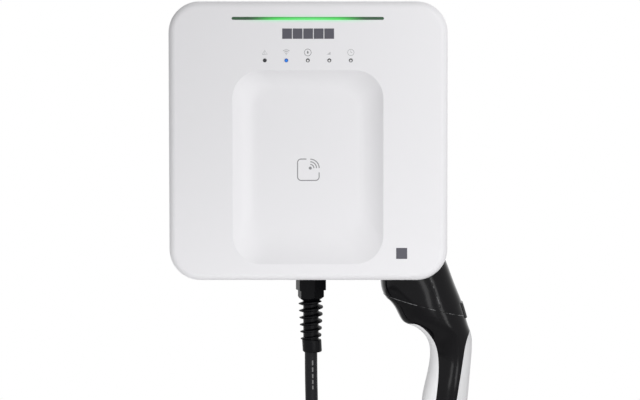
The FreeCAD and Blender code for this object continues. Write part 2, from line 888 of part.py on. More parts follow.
# Gland
gland_seal_z = -housing_half_height
gland_hex_z = gland_seal_z - gland_seal_thick
nut_top_z = gland_hex_z - gland_hex_high - nut_gap
nut_small_z = nut_top_z - nut_hex_high
nut_cone_z = nut_small_z - nut_small_high
spiral_z = nut_cone_z - nut_cone_high
collar_z = spiral_z - spiral_long
gland_end_z = collar_z - collar_long


def on_cable_line(z):
    """Point on the axis of the gland at height z."""
    return Vector(0, cable_y, z)


def gland_body():
    body = hexagon(gland_flats, gland_turn, gland_hex_z - gland_hex_high, gland_hex_z, 0, cable_y)
    stem = rod(
        gland_thread, on_cable_line(gland_hex_z - gland_hex_high - gland_thread_below),
        on_cable_line(-inner_half_height + gland_thread_inside))
    bore = rod(cable_bore, on_cable_line(nut_small_z - 20), on_cable_line(0))
    return body.fuse(stem).cut(bore).removeSplitter()


def gland_locknut():
    body = hexagon(gland_flats, gland_turn, -inner_half_height, -inner_half_height + locknut_high, 0, cable_y)
    return body.cut(rod(gland_thread + 0.05, on_cable_line(-half_height), on_cable_line(0)))


def gland_seal():
    ring = rod(gland_seal_radius, on_cable_line(gland_hex_z), on_cable_line(gland_seal_z))
    return ring.cut(rod(gland_thread + 0.05, on_cable_line(gland_hex_z - 1), on_cable_line(0)))


def spiral_fin():
    """One long fin wound down the nut's tail, thick at its root and thin at its tip, on a tapering helix."""
    taper = math.degrees(math.atan((spiral_top_radius - spiral_bottom_radius) / spiral_long))
    path = Part.makeHelix(spiral_long / spiral_turns, spiral_long, spiral_bottom_radius, taper)
    inner = cable_bore + spiral_root_depth / 2 - (spiral_top_radius - spiral_bottom_radius) / 2
    profile = Part.makePolygon([
        Vector(inner, 0, -spiral_root_high / 2),
        Vector(spiral_bottom_radius, 0, -spiral_tip_high / 2),
        Vector(spiral_bottom_radius, 0, spiral_tip_high / 2),
        Vector(inner, 0, spiral_root_high / 2),
        Vector(inner, 0, -spiral_root_high / 2),
    ])
    fin = Part.Wire(path.Edges).makePipeShell([profile], True, True)
    fin.rotate(Vector(0, 0, 0), UP, spiral_start)
    fin.translate(on_cable_line(collar_z))
    return fin


def gland_spiral_nut():
    """Dome nut of the gland, with the flexible spiral tail that keeps the cable from kinking."""
    upper = hexagon(gland_flats, gland_turn, nut_small_z, nut_top_z, 0, cable_y)
    lower = hexagon(nut_small_flats, gland_turn, nut_cone_z - nut_cone_high, nut_small_z + 1, 0, cable_y)
    reach = nut_small_flats / 2 / math.cos(math.radians(30))
    chamfer = cone(reach + 0.5, nut_cone_radius, on_cable_line(nut_cone_z + 2), on_cable_line(spiral_z))
    chamfer = chamfer.fuse(rod(reach + 0.5, on_cable_line(nut_cone_z + 2), on_cable_line(nut_top_z)))
    tail = rod(spiral_core, on_cable_line(collar_z - 1), on_cable_line(nut_cone_z))
    collar = cone(collar_top_radius, collar_bottom_radius, on_cable_line(collar_z), on_cable_line(gland_end_z))
    nut = upper.fuse([lower.common(chamfer), tail, collar, spiral_fin()])
    thread = rod(
        gland_thread + 0.05, on_cable_line(nut_top_z + 1),
        on_cable_line(gland_hex_z - gland_hex_high - gland_thread_below - 0.3))
    bore = rod(cable_bore, on_cable_line(gland_end_z - 1), on_cable_line(nut_top_z))
    return nut.cut([thread, bore]).removeSplitter()


# Cable
def smooth_path(points):
    """Straight runs joined by the largest tangent arcs that the runs allow, with each arc's radius."""
    edges = []
    radii = []
    last = points[0]
    for before, point, after in zip(points, points[1:], points[2:]):
        arriving = point.sub(before)
        leaving = after.sub(point)
        cut = 0.45 * min(arriving.Length, leaving.Length)
        arriving.normalize()
        leaving.normalize()
        half_turn = arriving.getAngle(leaving) / 2
        radius = cut / math.tan(half_turn)
        inward = leaving.sub(arriving)
        inward.normalize()
        start = point.sub(arriving * cut)
        end = point.add(leaving * cut)
        middle = point.add(inward * (radius * (1 / math.cos(half_turn) - 1)))
        edges.append(Part.LineSegment(last, start).toShape())
        edges.append(Part.Arc(start, middle, end).toShape())
        radii.append(radius)
        last = end
    edges.append(Part.LineSegment(last, points[-1]).toShape())
    return Part.Wire(edges), radii


def tube(name, points, radius):
    """Round tube along a smooth path, with a check of its volume."""
    path, radii = smooth_path(points)
    section = Part.Wire(Part.makeCircle(radius, points[0], points[1].sub(points[0])))
    solid = path.makePipeShell([section], True, True)
    share = solid.Volume / (math.pi * radius ** 2 * path.Length)
    print(name, "length", round(path.Length, 1), "radii", [round(r) for r in radii], "volume share", round(share, 4))
    return solid


def cable_inner_end():
    return rod(cable_radius, on_cable_line(gland_end_z + cable_in_collar), on_cable_line(cable_inner_top))


def in_cable_plane(points):
    return [Vector(x, cable_y, z) for x, z in points]


def core(name, side, depth, radius, route):
    """One core from the cable's end to where its route ends."""
    start = Vector(side * core_spread, cable_y + depth * core_spread, cable_inner_top)
    return tube(name, [start, start.add(UP * 9)] + [Vector(*p) for p in route], radius)


def line_core(side):
    terminal_x = side * relay_x
    terminal_y = board_face_y - relay_deep / 2
    route = [
        (side * core_spread * 1.2, sensor_y - 1, sensor_bottom - 3),
        (side * core_spread * 1.25, sensor_y, sensor_bottom + sensor_long + 3),
        (terminal_x, terminal_y, relay_bottom - 9),
        (terminal_x, terminal_y, relay_bottom),
    ]
    return core("line or neutral core", side, -1, core_radius, route)


def earth_core():
    x = earth_left + earth_width / 2
    y = board_face_y - earth_deep / 2
    return core("earth core", -1, 1, core_radius, [(x / 2 - 3, y - 16, earth_bottom - 12), (x, y, earth_bottom - 9), (x, y, earth_bottom)])


def pilot_core():
    x = pilot_left + pilot_width / 2
    y = board_face_y - pilot_deep / 2
    return core("pilot core", 1, 1, pilot_core_radius, [(x / 2 + 3, y - 17, cable_inner_top + 14), (x, y, pilot_bottom - 20), (x, y, pilot_bottom)])


# Holster and connector
def holster_cup():
    """Cup for the connector's nose, with a flange on the bay's slanted wall."""
    flange_low = holster_face - cup_flange_thick
    floor = holster_face + cup_depth
    cup = rod(cup_outer, Vector(0, 0, flange_low), Vector(0, 0, floor + cup_wall))
    cup = cup.fuse(rod(cup_flange, Vector(0, 0, flange_low), Vector(0, 0, holster_face)))
    holes = [rod(cup_inner, Vector(0, 0, flange_low - 1), Vector(0, 0, floor))]
    for t, y in cup_screw_places():
        holes.append(rod(cup_screw_shank + 0.2, Vector(t, y, flange_low - 1), Vector(t, y, holster_face + 1)))
        holes.append(cone(
            cup_screw_head + 0.1, cup_screw_shank + 0.1, Vector(t, y, flange_low), Vector(t, y, flange_low + cup_screw_cone)))
    return in_connector_place(cup.cut(holes).removeSplitter())


def holster_screws():
    screws = []
    low = holster_face - cup_flange_thick
    for t, y in cup_screw_places():
        head = cone(cup_screw_head, cup_screw_shank, Vector(t, y, low + 0.1), Vector(t, y, low + cup_screw_cone))
        shank = rod(cup_screw_shank, Vector(t, y, low + cup_screw_cone - 0.1), Vector(t, y, low + cup_screw_length))
        screws.append(in_connector_place(head.fuse(shank).removeSplitter()))
    return solids_of(screws)


def grip_section(front, back, half_thick, fullness):
    """Rounded outline across the connector, between a front and a back point of its side view."""
    middle_t = (front[0] + back[0]) / 2
    middle_s = (front[1] + back[1]) / 2
    reach_t = (back[0] - front[0]) / 2
    reach_s = (back[1] - front[1]) / 2
    points = []
    for k in range(section_points):
        angle = math.radians(section_seam + 360 * k / section_points)
        along = math.copysign(abs(math.cos(angle)) ** (2 / fullness), math.cos(angle))
        aside = math.copysign(abs(math.sin(angle)) ** (2 / fullness), math.sin(angle))
        points.append(Vector(middle_t + reach_t * along, half_thick * aside, middle_s + reach_s * along))
    curve = Part.BSplineCurve()
    curve.interpolate(Points=points, PeriodicFlag=True, Parameters=list(range(section_points + 1)))
    return Part.Wire(curve.toShape())


def grip_form(grow):
    """Whole outer form of the connector, from the head's front face to the cable's end, grown all round."""
    sections = [grip_section(
        (-head_half_width - grow, head_top), (head_half_width + grow, head_top), head_half_thick + grow, head_fullness)]
    for k, (front, back, half_thick) in enumerate(grip_sections):
        span = math.hypot(back[0] - front[0], back[1] - front[1])
        step_t = grow * (back[0] - front[0]) / span
        step_s = grow * (back[1] - front[1]) / span
        share = min(1.0, k / 5)
        fullness = head_fullness + (grip_fullness - head_fullness) * share
        sections.append(grip_section(
            (front[0] - step_t, front[1] - step_s), (back[0] + step_t, back[1] + step_s), half_thick + grow, fullness))
    return Part.makeLoft(sections, True, False, False, loft_degree)


def region(border, corners, shift):
    """Space on one side of a curved border, as a prism right through the connector."""
    points = [Vector(t + shift, -border_reach, s) for t, s in border]
    curve = Part.BSplineCurve()
    curve.interpolate(points)
    ends = [points[-1]] + [Vector(t, -border_reach, s) for t, s in corners] + [points[0]]
    outline = Part.Wire([curve.toShape()] + [Part.LineSegment(a, b).toShape() for a, b in zip(ends, ends[1:])])
    return Part.Face(outline).extrude(ACROSS * (2 * border_reach))


def inner_region(shift):
    return region(inner_border, [(-150.0, -190.0), (-150.0, -52.0)], shift)


def outer_region(shift):
    return region(outer_border, [(150.0, -206.0), (150.0, -82.0)], shift)


def head_shell_space():
    corners = [Vector(t, -border_reach, s) for t, s in shell_edge]
    corners += [Vector(60, -border_reach, 60), Vector(-60, -border_reach, 60)]
    outline = Part.makePolygon(corners + corners[:1])
    return Part.Face(outline).extrude(ACROSS * (2 * border_reach))


def grip_end():
    """Middle and direction of the grip's cable end, in the connector's frame."""
    front, back, half_thick = grip_sections[-1]
    middle = Vector((front[0] + back[0]) / 2, 0, (front[1] + back[1]) / 2)
    across = Vector(back[0] - front[0], 0, back[1] - front[1])
    across.normalize()
    return middle, Vector(across.z, 0, -across.x)


def button_space(grow, t_low, t_high):
    return block(
        t_low, t_high, -button_half_width - grow, button_half_width + grow, button_bottom - grow, button_top + grow)


def contact_places():
    """T, y and radii of the seven contacts: two pilots at the back, then three and two power contacts."""
    return [
        (12.5, -7.6, pilot_contact_outer, pilot_contact_inner),
        (12.5, 7.6, pilot_contact_outer, pilot_contact_inner),
        (0.0, -15.4, contact_outer, contact_inner),
        (0.0, 0.0, contact_outer, contact_inner),
        (0.0, 15.4, contact_outer, contact_inner),
        (-13.6, -8.0, contact_outer, contact_inner),
        (-13.6, 8.0, contact_outer, contact_inner),
    ]


nose_low = head_top - nose_socket
nose_high = head_top + nose_long


def nose_form(grow):
    """Round nose with a flat on the side of the back of the hand."""
    body = rod(nose_radius + grow, Vector(0, 0, nose_low), Vector(0, 0, nose_high))
    return body.cut(block(nose_flat + grow, 60, -60, 60, nose_low - 1, nose_high + 1))


def connector_nose():
    holes = []
    for t, y, outer, inner in contact_places():
        holes.append(rod(outer + contact_fit, Vector(t, y, nose_high - contact_depth), Vector(t, y, nose_high + 1)))
    body = nose_form(0)
    moat = rod(nose_radius - contact_wall, Vector(0, 0, nose_high - 6), Vector(0, 0, nose_high + 1))
    moat = moat.cut(block(nose_flat - contact_wall, 60, -60, 60, nose_high - 7, nose_high + 2))
    islands = [rod(outer + 2.2, Vector(t, y, nose_high - 7), Vector(t, y, nose_high - 1)) for t, y, outer, inner in contact_places()]
    return in_connector_place(body.cut(moat.cut(islands)).cut(holes).removeSplitter())


def contact_sleeves():
    sleeves = []
    for t, y, outer, inner in contact_places():
        low = Vector(t, y, nose_high - contact_depth)
        high = Vector(t, y, nose_high - contact_recess)
        sleeve = rod(outer, low, high).cut(rod(inner, low.add(UP * 4), high.add(UP)))
        sleeves.append(in_connector_place(sleeve))
    return solids_of(sleeves)


def body_screw_seats(form):
    """Start of each body screw on the far side of the connector, a little under its surface."""
    seats = []
    for t, s in body_screws:
        probe = Part.LineSegment(Vector(t, 0, s), Vector(t, border_reach, s)).toShape()
        hit = form.common(probe)
        seats.append(Vector(t, hit.BoundBox.YMax - body_screw_sink, s))
    return seats


def connector_parts():
    """Black body, two pale grips, thumb button and body screws, all cut from one outer form."""
    form = grip_form(0)
    raised = grip_form(shell_raise).common(head_shell_space())
    whole = raised.fuse(form.cut(head_shell_space()))
    seats = body_screw_seats(form)
    end, way = grip_end()
    socket = rod(boot_socket_radius + boot_fit, end.sub(way * boot_socket), end.add(way))
    body = whole.cut([inner_region(0), outer_region(0), nose_form(0.05), socket])
    pocket = button_space(button_clear, button_flange_t - 1, 60)
    wide = button_flange_wide + button_clear
    well = button_space(wide, button_floor_t, button_flange_t + button_clear)
    wells = [rod(body_screw_radius + 0.1, seat, seat.add(ACROSS * 20)) for seat in seats]
    drills = [rod(body_screw_radius * 0.6, seat.sub(ACROSS * body_screw_deep), seat) for seat in seats]
    body = body.cut([pocket, well] + wells + drills).removeSplitter()
    inner = form.common(inner_region(-grip_joint)).cut(socket)
    outer = form.common(outer_region(grip_joint)).cut(socket)
    proud = grip_form(shell_raise + button_proud)
    cap = button_space(0, button_flange_t - 0.5, 60).common(proud)
    flange = button_space(button_flange_wide, button_flange_t - button_flange_thick, button_flange_t)
    button = cap.fuse(flange).removeSplitter()
    screws = []
    for seat in seats:
        head = rod(body_screw_radius, seat, seat.add(ACROSS * 1.2))
        shank = rod(body_screw_radius * 0.6 - 0.05, seat.sub(ACROSS * (body_screw_deep - 0.5)), seat)
        screws.append(head.fuse(shank).removeSplitter())
    return body, inner, outer, button, screws


def button_spring():
    """Compression spring between the pocket's floor and the button's flange."""
    low = button_floor_t + spring_wire + 0.05
    high = button_flange_t - button_flange_thick - spring_wire - 0.05
    path = Part.makeHelix((high - low) / spring_turns, high - low, spring_radius)
    section = Part.Wire(Part.makeCircle(spring_wire, Vector(spring_radius, 0, 0), ACROSS))
    coil = Part.Wire(path.Edges).makePipeShell([section], True, True)
    coil.rotate(Vector(0, 0, 0), ACROSS, 90)
    coil.translate(Vector(low, 0, spring_s))
    return in_connector_place(coil)


def button_switch():
    body = block(
        button_floor_t, button_floor_t + switch_high, -switch_wide / 2, switch_wide / 2,
        switch_s - switch_long / 2, switch_s + switch_long / 2)
    base = Vector(button_floor_t + switch_high, 0, switch_s)
    plunger = rod(plunger_radius, base, base.add(Vector(plunger_high, 0, 0)))
    return in_connector_place(body.fuse(plunger).removeSplitter())


def cable_boot():
    """Rubber sleeve at the grip's end: a stem in the grip, then a taper with rings cut into it."""
    end, way = grip_end()
    stem = rod(boot_socket_radius, end.sub(way * (boot_socket - 0.3)), end.add(way))
    taper = cone(boot_start_radius, boot_end_radius, end.add(way * 0.2), end.add(way * boot_long))
    grooves = []
    pitch = boot_long / (boot_ring_count + 1)
    for k in range(boot_ring_count):
        low = end.add(way * (pitch * (k + 0.7)))
        outside = rod(boot_start_radius + 1, low, low.add(way * boot_ring_wide))
        radius = boot_start_radius + (boot_end_radius - boot_start_radius) * (k + 0.9) * pitch / boot_long
        grooves.append(outside.cut(rod(radius - boot_ring_deep, low.sub(way), low.add(way * (boot_ring_wide + 1)))))
    bore = rod(cable_bore, end.add(way * (boot_long - cable_in_boot - 1)), end.add(way * (boot_long + 1)))
    return in_connector_place(stem.fuse(taper).cut(grooves + [bore]).removeSplitter())


# Free length of the cable
coil_middle = Vector(coil_x, cable_y, coil_z)


def coil_section(grow):
    """Rounded section of the wound bundle, at the coil's right side, in the plane through its axis."""
    outline = round_outline(
        -coil_half_height - grow, coil_half_height + grow, -coil_half_width - grow, coil_half_width + grow,
        coil_section_corner + grow, 0)
    outline.rotate(Vector(0, 0, 0), Vector(1, 0, 0), 90)
    return outline


def cable_coil():
    section = coil_section(0)
    section.translate(coil_middle.add(Vector(coil_mean_radius, 0, 0)))
    return Part.Face(section).revolve(coil_middle, ACROSS, 360)


def cable_ties():
    """Two bands round the bundle, at the top and the bottom of the coil."""
    ties = []
    for level in (-1, 1):
        outer = Part.Face(coil_section(tie_gap + tie_thick)).extrude(UP * tie_wide)
        inner = Part.Face(coil_section(tie_gap)).extrude(UP * tie_wide)
        band = outer.cut(inner)
        band.translate(Vector(0, 0, -tie_wide / 2))
        band.rotate(Vector(0, 0, 0), ACROSS, 90)
        band.translate(coil_middle.add(UP * (level * coil_mean_radius)))
        ties.append(band)
    return solids_of(ties)


def cable_leg_gland(coil):
    start = on_cable_line(gland_end_z + cable_in_collar)
    return tube("gland leg", [start] + in_cable_plane(gland_leg), cable_radius).cut(coil)


def cable_leg_connector(coil):
    end, way = grip_end()
    start = end.add(way * (boot_long - cable_in_boot))
    second = end.add(way * (boot_long + 4))
    points = []
    for point in (start, second):
        x, z = connector_point(point.x, point.z)
        points.append(Vector(x, cable_y, z))
    return tube("connector leg", points + in_cable_plane(connector_leg), cable_radius).cut(coil)


def build():
    """Every piece under its name."""
    body, inner, outer, button, screws = connector_parts()
    coil = cable_coil()
    pieces = {
        "front_cover": front_cover(),
        "cover_seal": cover_seal(),
        "cover_screws": cover_screws(),
        "light_bar": light_bar(),
        "light_bar_board": light_bar_board(),
        "indicator_board": indicator_board(),
        "antenna_board": antenna_board(),
        "cover_board_screws": cover_board_screws(),
        "rear_housing": rear_housing(),
        "housing_board_screws": housing_board_screws(),
        "power_board": power_board(),
        "control_board": control_board(),
        "radio_module": radio_module(),
        "power_relays": power_relays(),
        "supply_terminals": supply_terminals(),
        "current_sensor": current_sensor(),
        "supply_module": supply_module(),
        "earth_bar": earth_bar(),
        "wall_bracket": wall_bracket(),
        "bracket_screws": bracket_screws(),
        "supply_grommet": supply_grommet(),
        "gland_body": gland_body(),
        "gland_locknut": gland_locknut(),
        "gland_seal": gland_seal(),
        "gland_spiral_nut": gland_spiral_nut(),
        "cable_inner_end": cable_inner_end(),
        "line_core": line_core(-1),
        "neutral_core": line_core(1),
        "earth_core": earth_core(),
        "pilot_core": pilot_core(),
        "holster_cup": holster_cup(),
        "holster_screws": holster_screws(),
        "connector_body": in_connector_place(body),
        "grip_inner": in_connector_place(inner),
        "grip_outer": in_connector_place(outer),
        "thumb_button": in_connector_place(button),
        "connector_screws": solids_of([in_connector_place(screw) for screw in screws]),
        "connector_nose": connector_nose(),
        "contact_sleeves": contact_sleeves(),
        "button_spring": button_spring(),
        "button_switch": button_switch(),
        "cable_boot": cable_boot(),
        "cable_coil": coil,
        "cable_ties": cable_ties(),
        "cable_leg_gland": cable_leg_gland(coil),
        "cable_leg_connector": cable_leg_connector(coil),
    }
    for k, x in enumerate(indicator_places()):
        pieces["indicator_lens_" + str(k + 1)] = indicator_lens(x)
    return pieces


os.makedirs("parts", exist_ok=True)
for name, shape in build().items():
    count = len(shape.Solids)
    box = shape.BoundBox
    print(name, "solids", count, "valid", shape.isValid(), "volume", round(shape.Volume),
          "z", round(box.ZMin, 1), round(box.ZMax, 1))
    shape.exportStep("parts/" + name + ".step")
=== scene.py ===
# %% [markdown]
# # A wall charging point for cars, dressed
#
# This lesson gives the looks to a charging point that was built and measured in a CAD program: a square
# white case with a dished front, a spiral cable gland, a coiled charging cable and a curved connector in
# its holster. The CAD solids come in as a fixed frame, in metres. We don't move them. We give them their
# finishes, and model beside them what the CAD model leaves out: the real cable, the printed marks, the
# collar of the gland, two thin edges on the connector, and the stage.

# %% Load the frame
import json
import math

import bpy
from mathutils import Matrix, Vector


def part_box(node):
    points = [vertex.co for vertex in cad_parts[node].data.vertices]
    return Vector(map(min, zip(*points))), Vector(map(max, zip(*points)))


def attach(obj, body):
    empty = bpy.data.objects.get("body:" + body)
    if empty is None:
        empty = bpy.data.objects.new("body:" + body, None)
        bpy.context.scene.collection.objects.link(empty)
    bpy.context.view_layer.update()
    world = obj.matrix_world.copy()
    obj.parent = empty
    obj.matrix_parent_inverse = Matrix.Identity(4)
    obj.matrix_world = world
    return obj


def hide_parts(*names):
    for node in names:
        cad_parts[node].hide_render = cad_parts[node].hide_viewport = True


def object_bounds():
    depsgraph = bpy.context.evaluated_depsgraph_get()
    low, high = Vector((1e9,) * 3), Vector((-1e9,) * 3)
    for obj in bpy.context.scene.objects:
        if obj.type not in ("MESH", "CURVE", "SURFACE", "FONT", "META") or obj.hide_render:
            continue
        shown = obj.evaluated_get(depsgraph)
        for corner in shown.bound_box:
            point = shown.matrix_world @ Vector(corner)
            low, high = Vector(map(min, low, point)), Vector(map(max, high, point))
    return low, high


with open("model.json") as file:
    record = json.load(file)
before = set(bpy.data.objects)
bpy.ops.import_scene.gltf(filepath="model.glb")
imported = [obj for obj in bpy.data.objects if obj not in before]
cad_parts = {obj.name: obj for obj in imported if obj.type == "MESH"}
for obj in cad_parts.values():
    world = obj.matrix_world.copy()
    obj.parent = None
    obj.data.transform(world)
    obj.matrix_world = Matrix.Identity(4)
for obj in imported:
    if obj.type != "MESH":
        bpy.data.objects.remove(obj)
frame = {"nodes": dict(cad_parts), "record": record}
MM = 0.001
cad_box = [list(corner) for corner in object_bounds()]
print("CAD nodes:", len(frame["nodes"]))
print("CAD box:", [[round(v, 3) for v in corner] for corner in cad_box])


def box_of(node):
    """Lowest and highest corner of a CAD node."""
    low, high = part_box(node)
    return Vector(low), Vector(high)


# %% [markdown]
# ## The camera
#
# The photograph was taken from a little over a metre, slightly right of the middle of the case, with the
# lens almost level. Its frame reaches lower than the optical axis, which is what a shifted lens does: the
# case stays square while the connector below it comes into view.

# %% Camera
CAMERA_X = 60 * MM
CAMERA_Z = 0.0
CAMERA_DISTANCE = 1.2
VIEW_WIDTH = 0.674
VIEW_MIDDLE_X = 12.7 * MM
VIEW_MIDDLE_Z = -62 * MM
PITCH = math.radians(1.6)
SENSOR = 36.0

front_y = box_of("front_cover")[0].y
camera_data = bpy.data.cameras.new("photo_camera")
camera_data.sensor_width = SENSOR
camera_data.lens = SENSOR * CAMERA_DISTANCE / VIEW_WIDTH
camera_data.shift_x = (VIEW_MIDDLE_X - CAMERA_X) / VIEW_WIDTH
camera_data.shift_y = (VIEW_MIDDLE_Z - CAMERA_Z + CAMERA_DISTANCE * math.tan(PITCH)) / VIEW_WIDTH
camera = bpy.data.objects.new("photo_camera", camera_data)
camera.location = (CAMERA_X, front_y - CAMERA_DISTANCE, CAMERA_Z)
camera.rotation_euler = (math.pi / 2 - PITCH, 0, 0)
bpy.context.scene.collection.objects.link(camera)
bpy.context.scene.camera = camera
bpy.context.scene.view_settings.view_transform = "Standard"
print("lens", round(camera_data.lens, 1))
print("shift", round(camera_data.shift_x, 3), round(camera_data.shift_y, 3))

# %% [markdown]
# ## The charging cable
#
# The cable is one smooth line, five metres long. It leaves the gland, hangs down, runs round nine and a
# half turns of a coil and comes up again into the connector's boot. A NURBS spline of order three needs
# only a few points on the hanging legs. The coil's points come from a loop: each turn lies in its own place
# among the others, stacked three, four and three, and moves over to the next place at the top of the coil.

# %% Route of the cable
CABLE_DIAMETER = 14 * MM
CABLE_Y = -58 * MM
GLAND_LEG = [(0, -223), (0, -262), (1.2, -305), (-4, -350), (-11.5, -396), (-14, -440)]
CONNECTOR_LEG = [(142, -440), (140.9, -405)]

COIL_X = 64 * MM
COIL_Z = -470 * MM
COIL_RADIUS = 78 * MM
COIL_TURNS = 9.5
POINTS_PER_TURN = 16
CROSSOVER_START = 0.66
ROW_PITCH = CABLE_DIAMETER * math.sin(math.radians(60))


def strand_places():
    """Depth and height in the bundle of each turn, in the order in which the turns follow each other."""
    inner, middle, outer = -ROW_PITCH, 0.0, ROW_PITCH
    rows = [
        ([0.5, 1.5], middle),
        ([1, 0, -1], inner),
        ([-1.5, -0.5], middle),
        ([-1, 0, 1], outer),
    ]
    return [(depth * CABLE_DIAMETER, height) for depths, height in rows for depth in depths]


def place_at(turn):
    """Depth and height in the bundle after some turns, crossing over smoothly late in each turn."""
    places = strand_places()
    whole = min(int(turn), len(places) - 1)
    following = min(whole + 1, len(places) - 1)
    share = (turn - whole - CROSSOVER_START) / (1 - CROSSOVER_START)
    share = min(max(share, 0.0), 1.0)
    share = share * share * (3 - 2 * share)
    return [a + (b - a) * share for a, b in zip(places[whole], places[following])]


def coil_points():
    """Control points of the coil, from the left side down, round and up to the right side."""
    outside = 1 / math.cos(math.pi / POINTS_PER_TURN)
    points = []
    for step in range(int(COIL_TURNS * POINTS_PER_TURN) + 1):
        turn = step / POINTS_PER_TURN
        depth, height = place_at(turn)
        angle = math.pi + 2 * math.pi * turn
        radius = (COIL_RADIUS + height) * outside
        points.append((COIL_X + radius * math.cos(angle), CABLE_Y + depth, COIL_Z + radius * math.sin(angle)))
    return points


def leg_points(leg):
    """Points of a hanging leg, written as X and Z in millimetres."""
    return [(x * MM, CABLE_Y, z * MM) for x, z in leg]


# %% [markdown]
# The connector leans in its holster, so the boot at its end has its own direction. The last four points lie
# on one straight line: one just outside the boot, one inside it and two in the connector's handle, where
# the cable runs on unseen.

# %% Build the cable
BOOT_END = (139.6 * MM, CABLE_Y, -376.6 * MM)
BOOT_WAY = Vector((-0.115, 0, -0.993))
BOOT_REACHES = (4 * MM, -12 * MM, -50 * MM, -96 * MM)
SPLINE_ORDER = 3
STEPS_ALONG = 6
STEPS_ROUND = 6


def boot_points():
    """The last stretch of the cable: straight into the boot and on into the handle, from outside inwards."""
    end = Vector(BOOT_END)
    return [tuple(end + BOOT_WAY * reach) for reach in BOOT_REACHES]


def smooth_cord(name, points, diameter):
    """One open NURBS spline with a round section."""
    curve = bpy.data.curves.new(name, "CURVE")
    curve.dimensions = "3D"
    spline = curve.splines.new("NURBS")
    spline.points.add(len(points) - 1)
    for point, place in zip(spline.points, points):
        point.co = (*place, 1)
        point.radius = diameter / 2
    spline.order_u = SPLINE_ORDER
    spline.use_endpoint_u = True
    spline.resolution_u = STEPS_ALONG
    curve.bevel_depth = 1.0
    curve.bevel_resolution = STEPS_ROUND
    cord = bpy.data.objects.new(name, curve)
    bpy.context.scene.collection.objects.link(cord)
    return cord


route = leg_points(GLAND_LEG) + coil_points() + leg_points(CONNECTOR_LEG) + boot_points()
charging_cable = smooth_cord("charging_cable", route, CABLE_DIAMETER)
print("cable points:", len(route), "length:", round(charging_cable.data.splines[0].calc_length(), 3))

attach(charging_cable, "root")
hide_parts("cable_leg_gland", "cable_coil", "cable_leg_connector")

# %% [markdown]
# ## Light
#
# The photograph is a studio picture on pure white. Its light comes from two tall narrow strips, one at the
# right and one near the camera: the left side of the cover is darker, and the black mouldings carry one
# long highlight. Three fill lamps without a highlight of their own lift the cover from the upper right and
# the connector's handle from below. The world fills the rest. Rays from the camera and reflections see the
# world as white, which the light path node tells apart from the light on the object.

# %% World and lamps
WORLD_LIGHT = 0.31


def make_world():
    """White to look at, and a plain soft light on the object."""
    world = bpy.data.worlds.new("white_studio")
    world.use_nodes = True
    tree = world.node_tree
    seen = tree.nodes.new("ShaderNodeLightPath")
    level = tree.nodes.new("ShaderNodeMapRange")
    level.inputs["To Min"].default_value = WORLD_LIGHT
    level.inputs["To Max"].default_value = 1.0
    last = seen.outputs["Is Camera Ray"]
    for ray in ("Is Glossy Ray", "Is Transmission Ray"):
        either = tree.nodes.new("ShaderNodeMath")
        either.operation = "MAXIMUM"
        tree.links.new(last, either.inputs[0])
        tree.links.new(seen.outputs[ray], either.inputs[1])
        last = either.outputs[0]
    tree.links.new(last, level.inputs["Value"])
    tree.links.new(level.outputs[0], tree.nodes["Background"].inputs["Strength"])
    tree.nodes["Background"].inputs["Color"].default_value = (1, 1, 1, 1)
    bpy.context.scene.world = world


def add_lamp(name, place, target, width, height, watts, highlight=True):
    """Rectangular soft lamp that faces a point. A fill lamp leaves no highlight of its own."""
    data = bpy.data.lights.new(name, "AREA")
    data.shape = "RECTANGLE"
    data.size = width
    data.size_y = height
    data.energy = watts
    lamp = bpy.data.objects.new(name, data)
    lamp.location = place
    lamp.rotation_euler = (Vector(target) - Vector(place)).to_track_quat("-Z", "Y").to_euler()
    lamp.visible_glossy = highlight
    bpy.context.scene.collection.objects.link(lamp)


make_world()
add_lamp("key_strip", place=(0.66, -1.15, 0.1), target=(0, -0.06, -0.1), width=0.14, height=1.6, watts=3.2)
add_lamp("near_camera", place=(0.3, -1.3, 0.1), target=(0.05, -0.06, -0.15),
         width=0.14, height=1.6, watts=2.7)
add_lamp("right_high", place=(1.0, -0.9, 0.7), target=(0, -0.06, 0),
         width=0.5, height=0.5, watts=6.5, highlight=False)
add_lamp("near_low", place=(-0.05, -0.5, -0.45), target=(0.14, -0.06, -0.3),
         width=0.4, height=0.12, watts=0.62, highlight=False)
add_lamp("low_left", place=(-0.6, -0.5, -0.44), target=(0.12, -0.06, -0.3),
         width=0.6, height=0.15, watts=0.9, highlight=False)

# %% [markdown]
# ## Materials in Python
#
# A material is a tree of nodes. Wiring it by hand makes long code, so one small class wraps an output
# socket and lets Python's operators add the Math nodes: `1 - mask * 0.5` builds two nodes and reads like
# the sum it is.

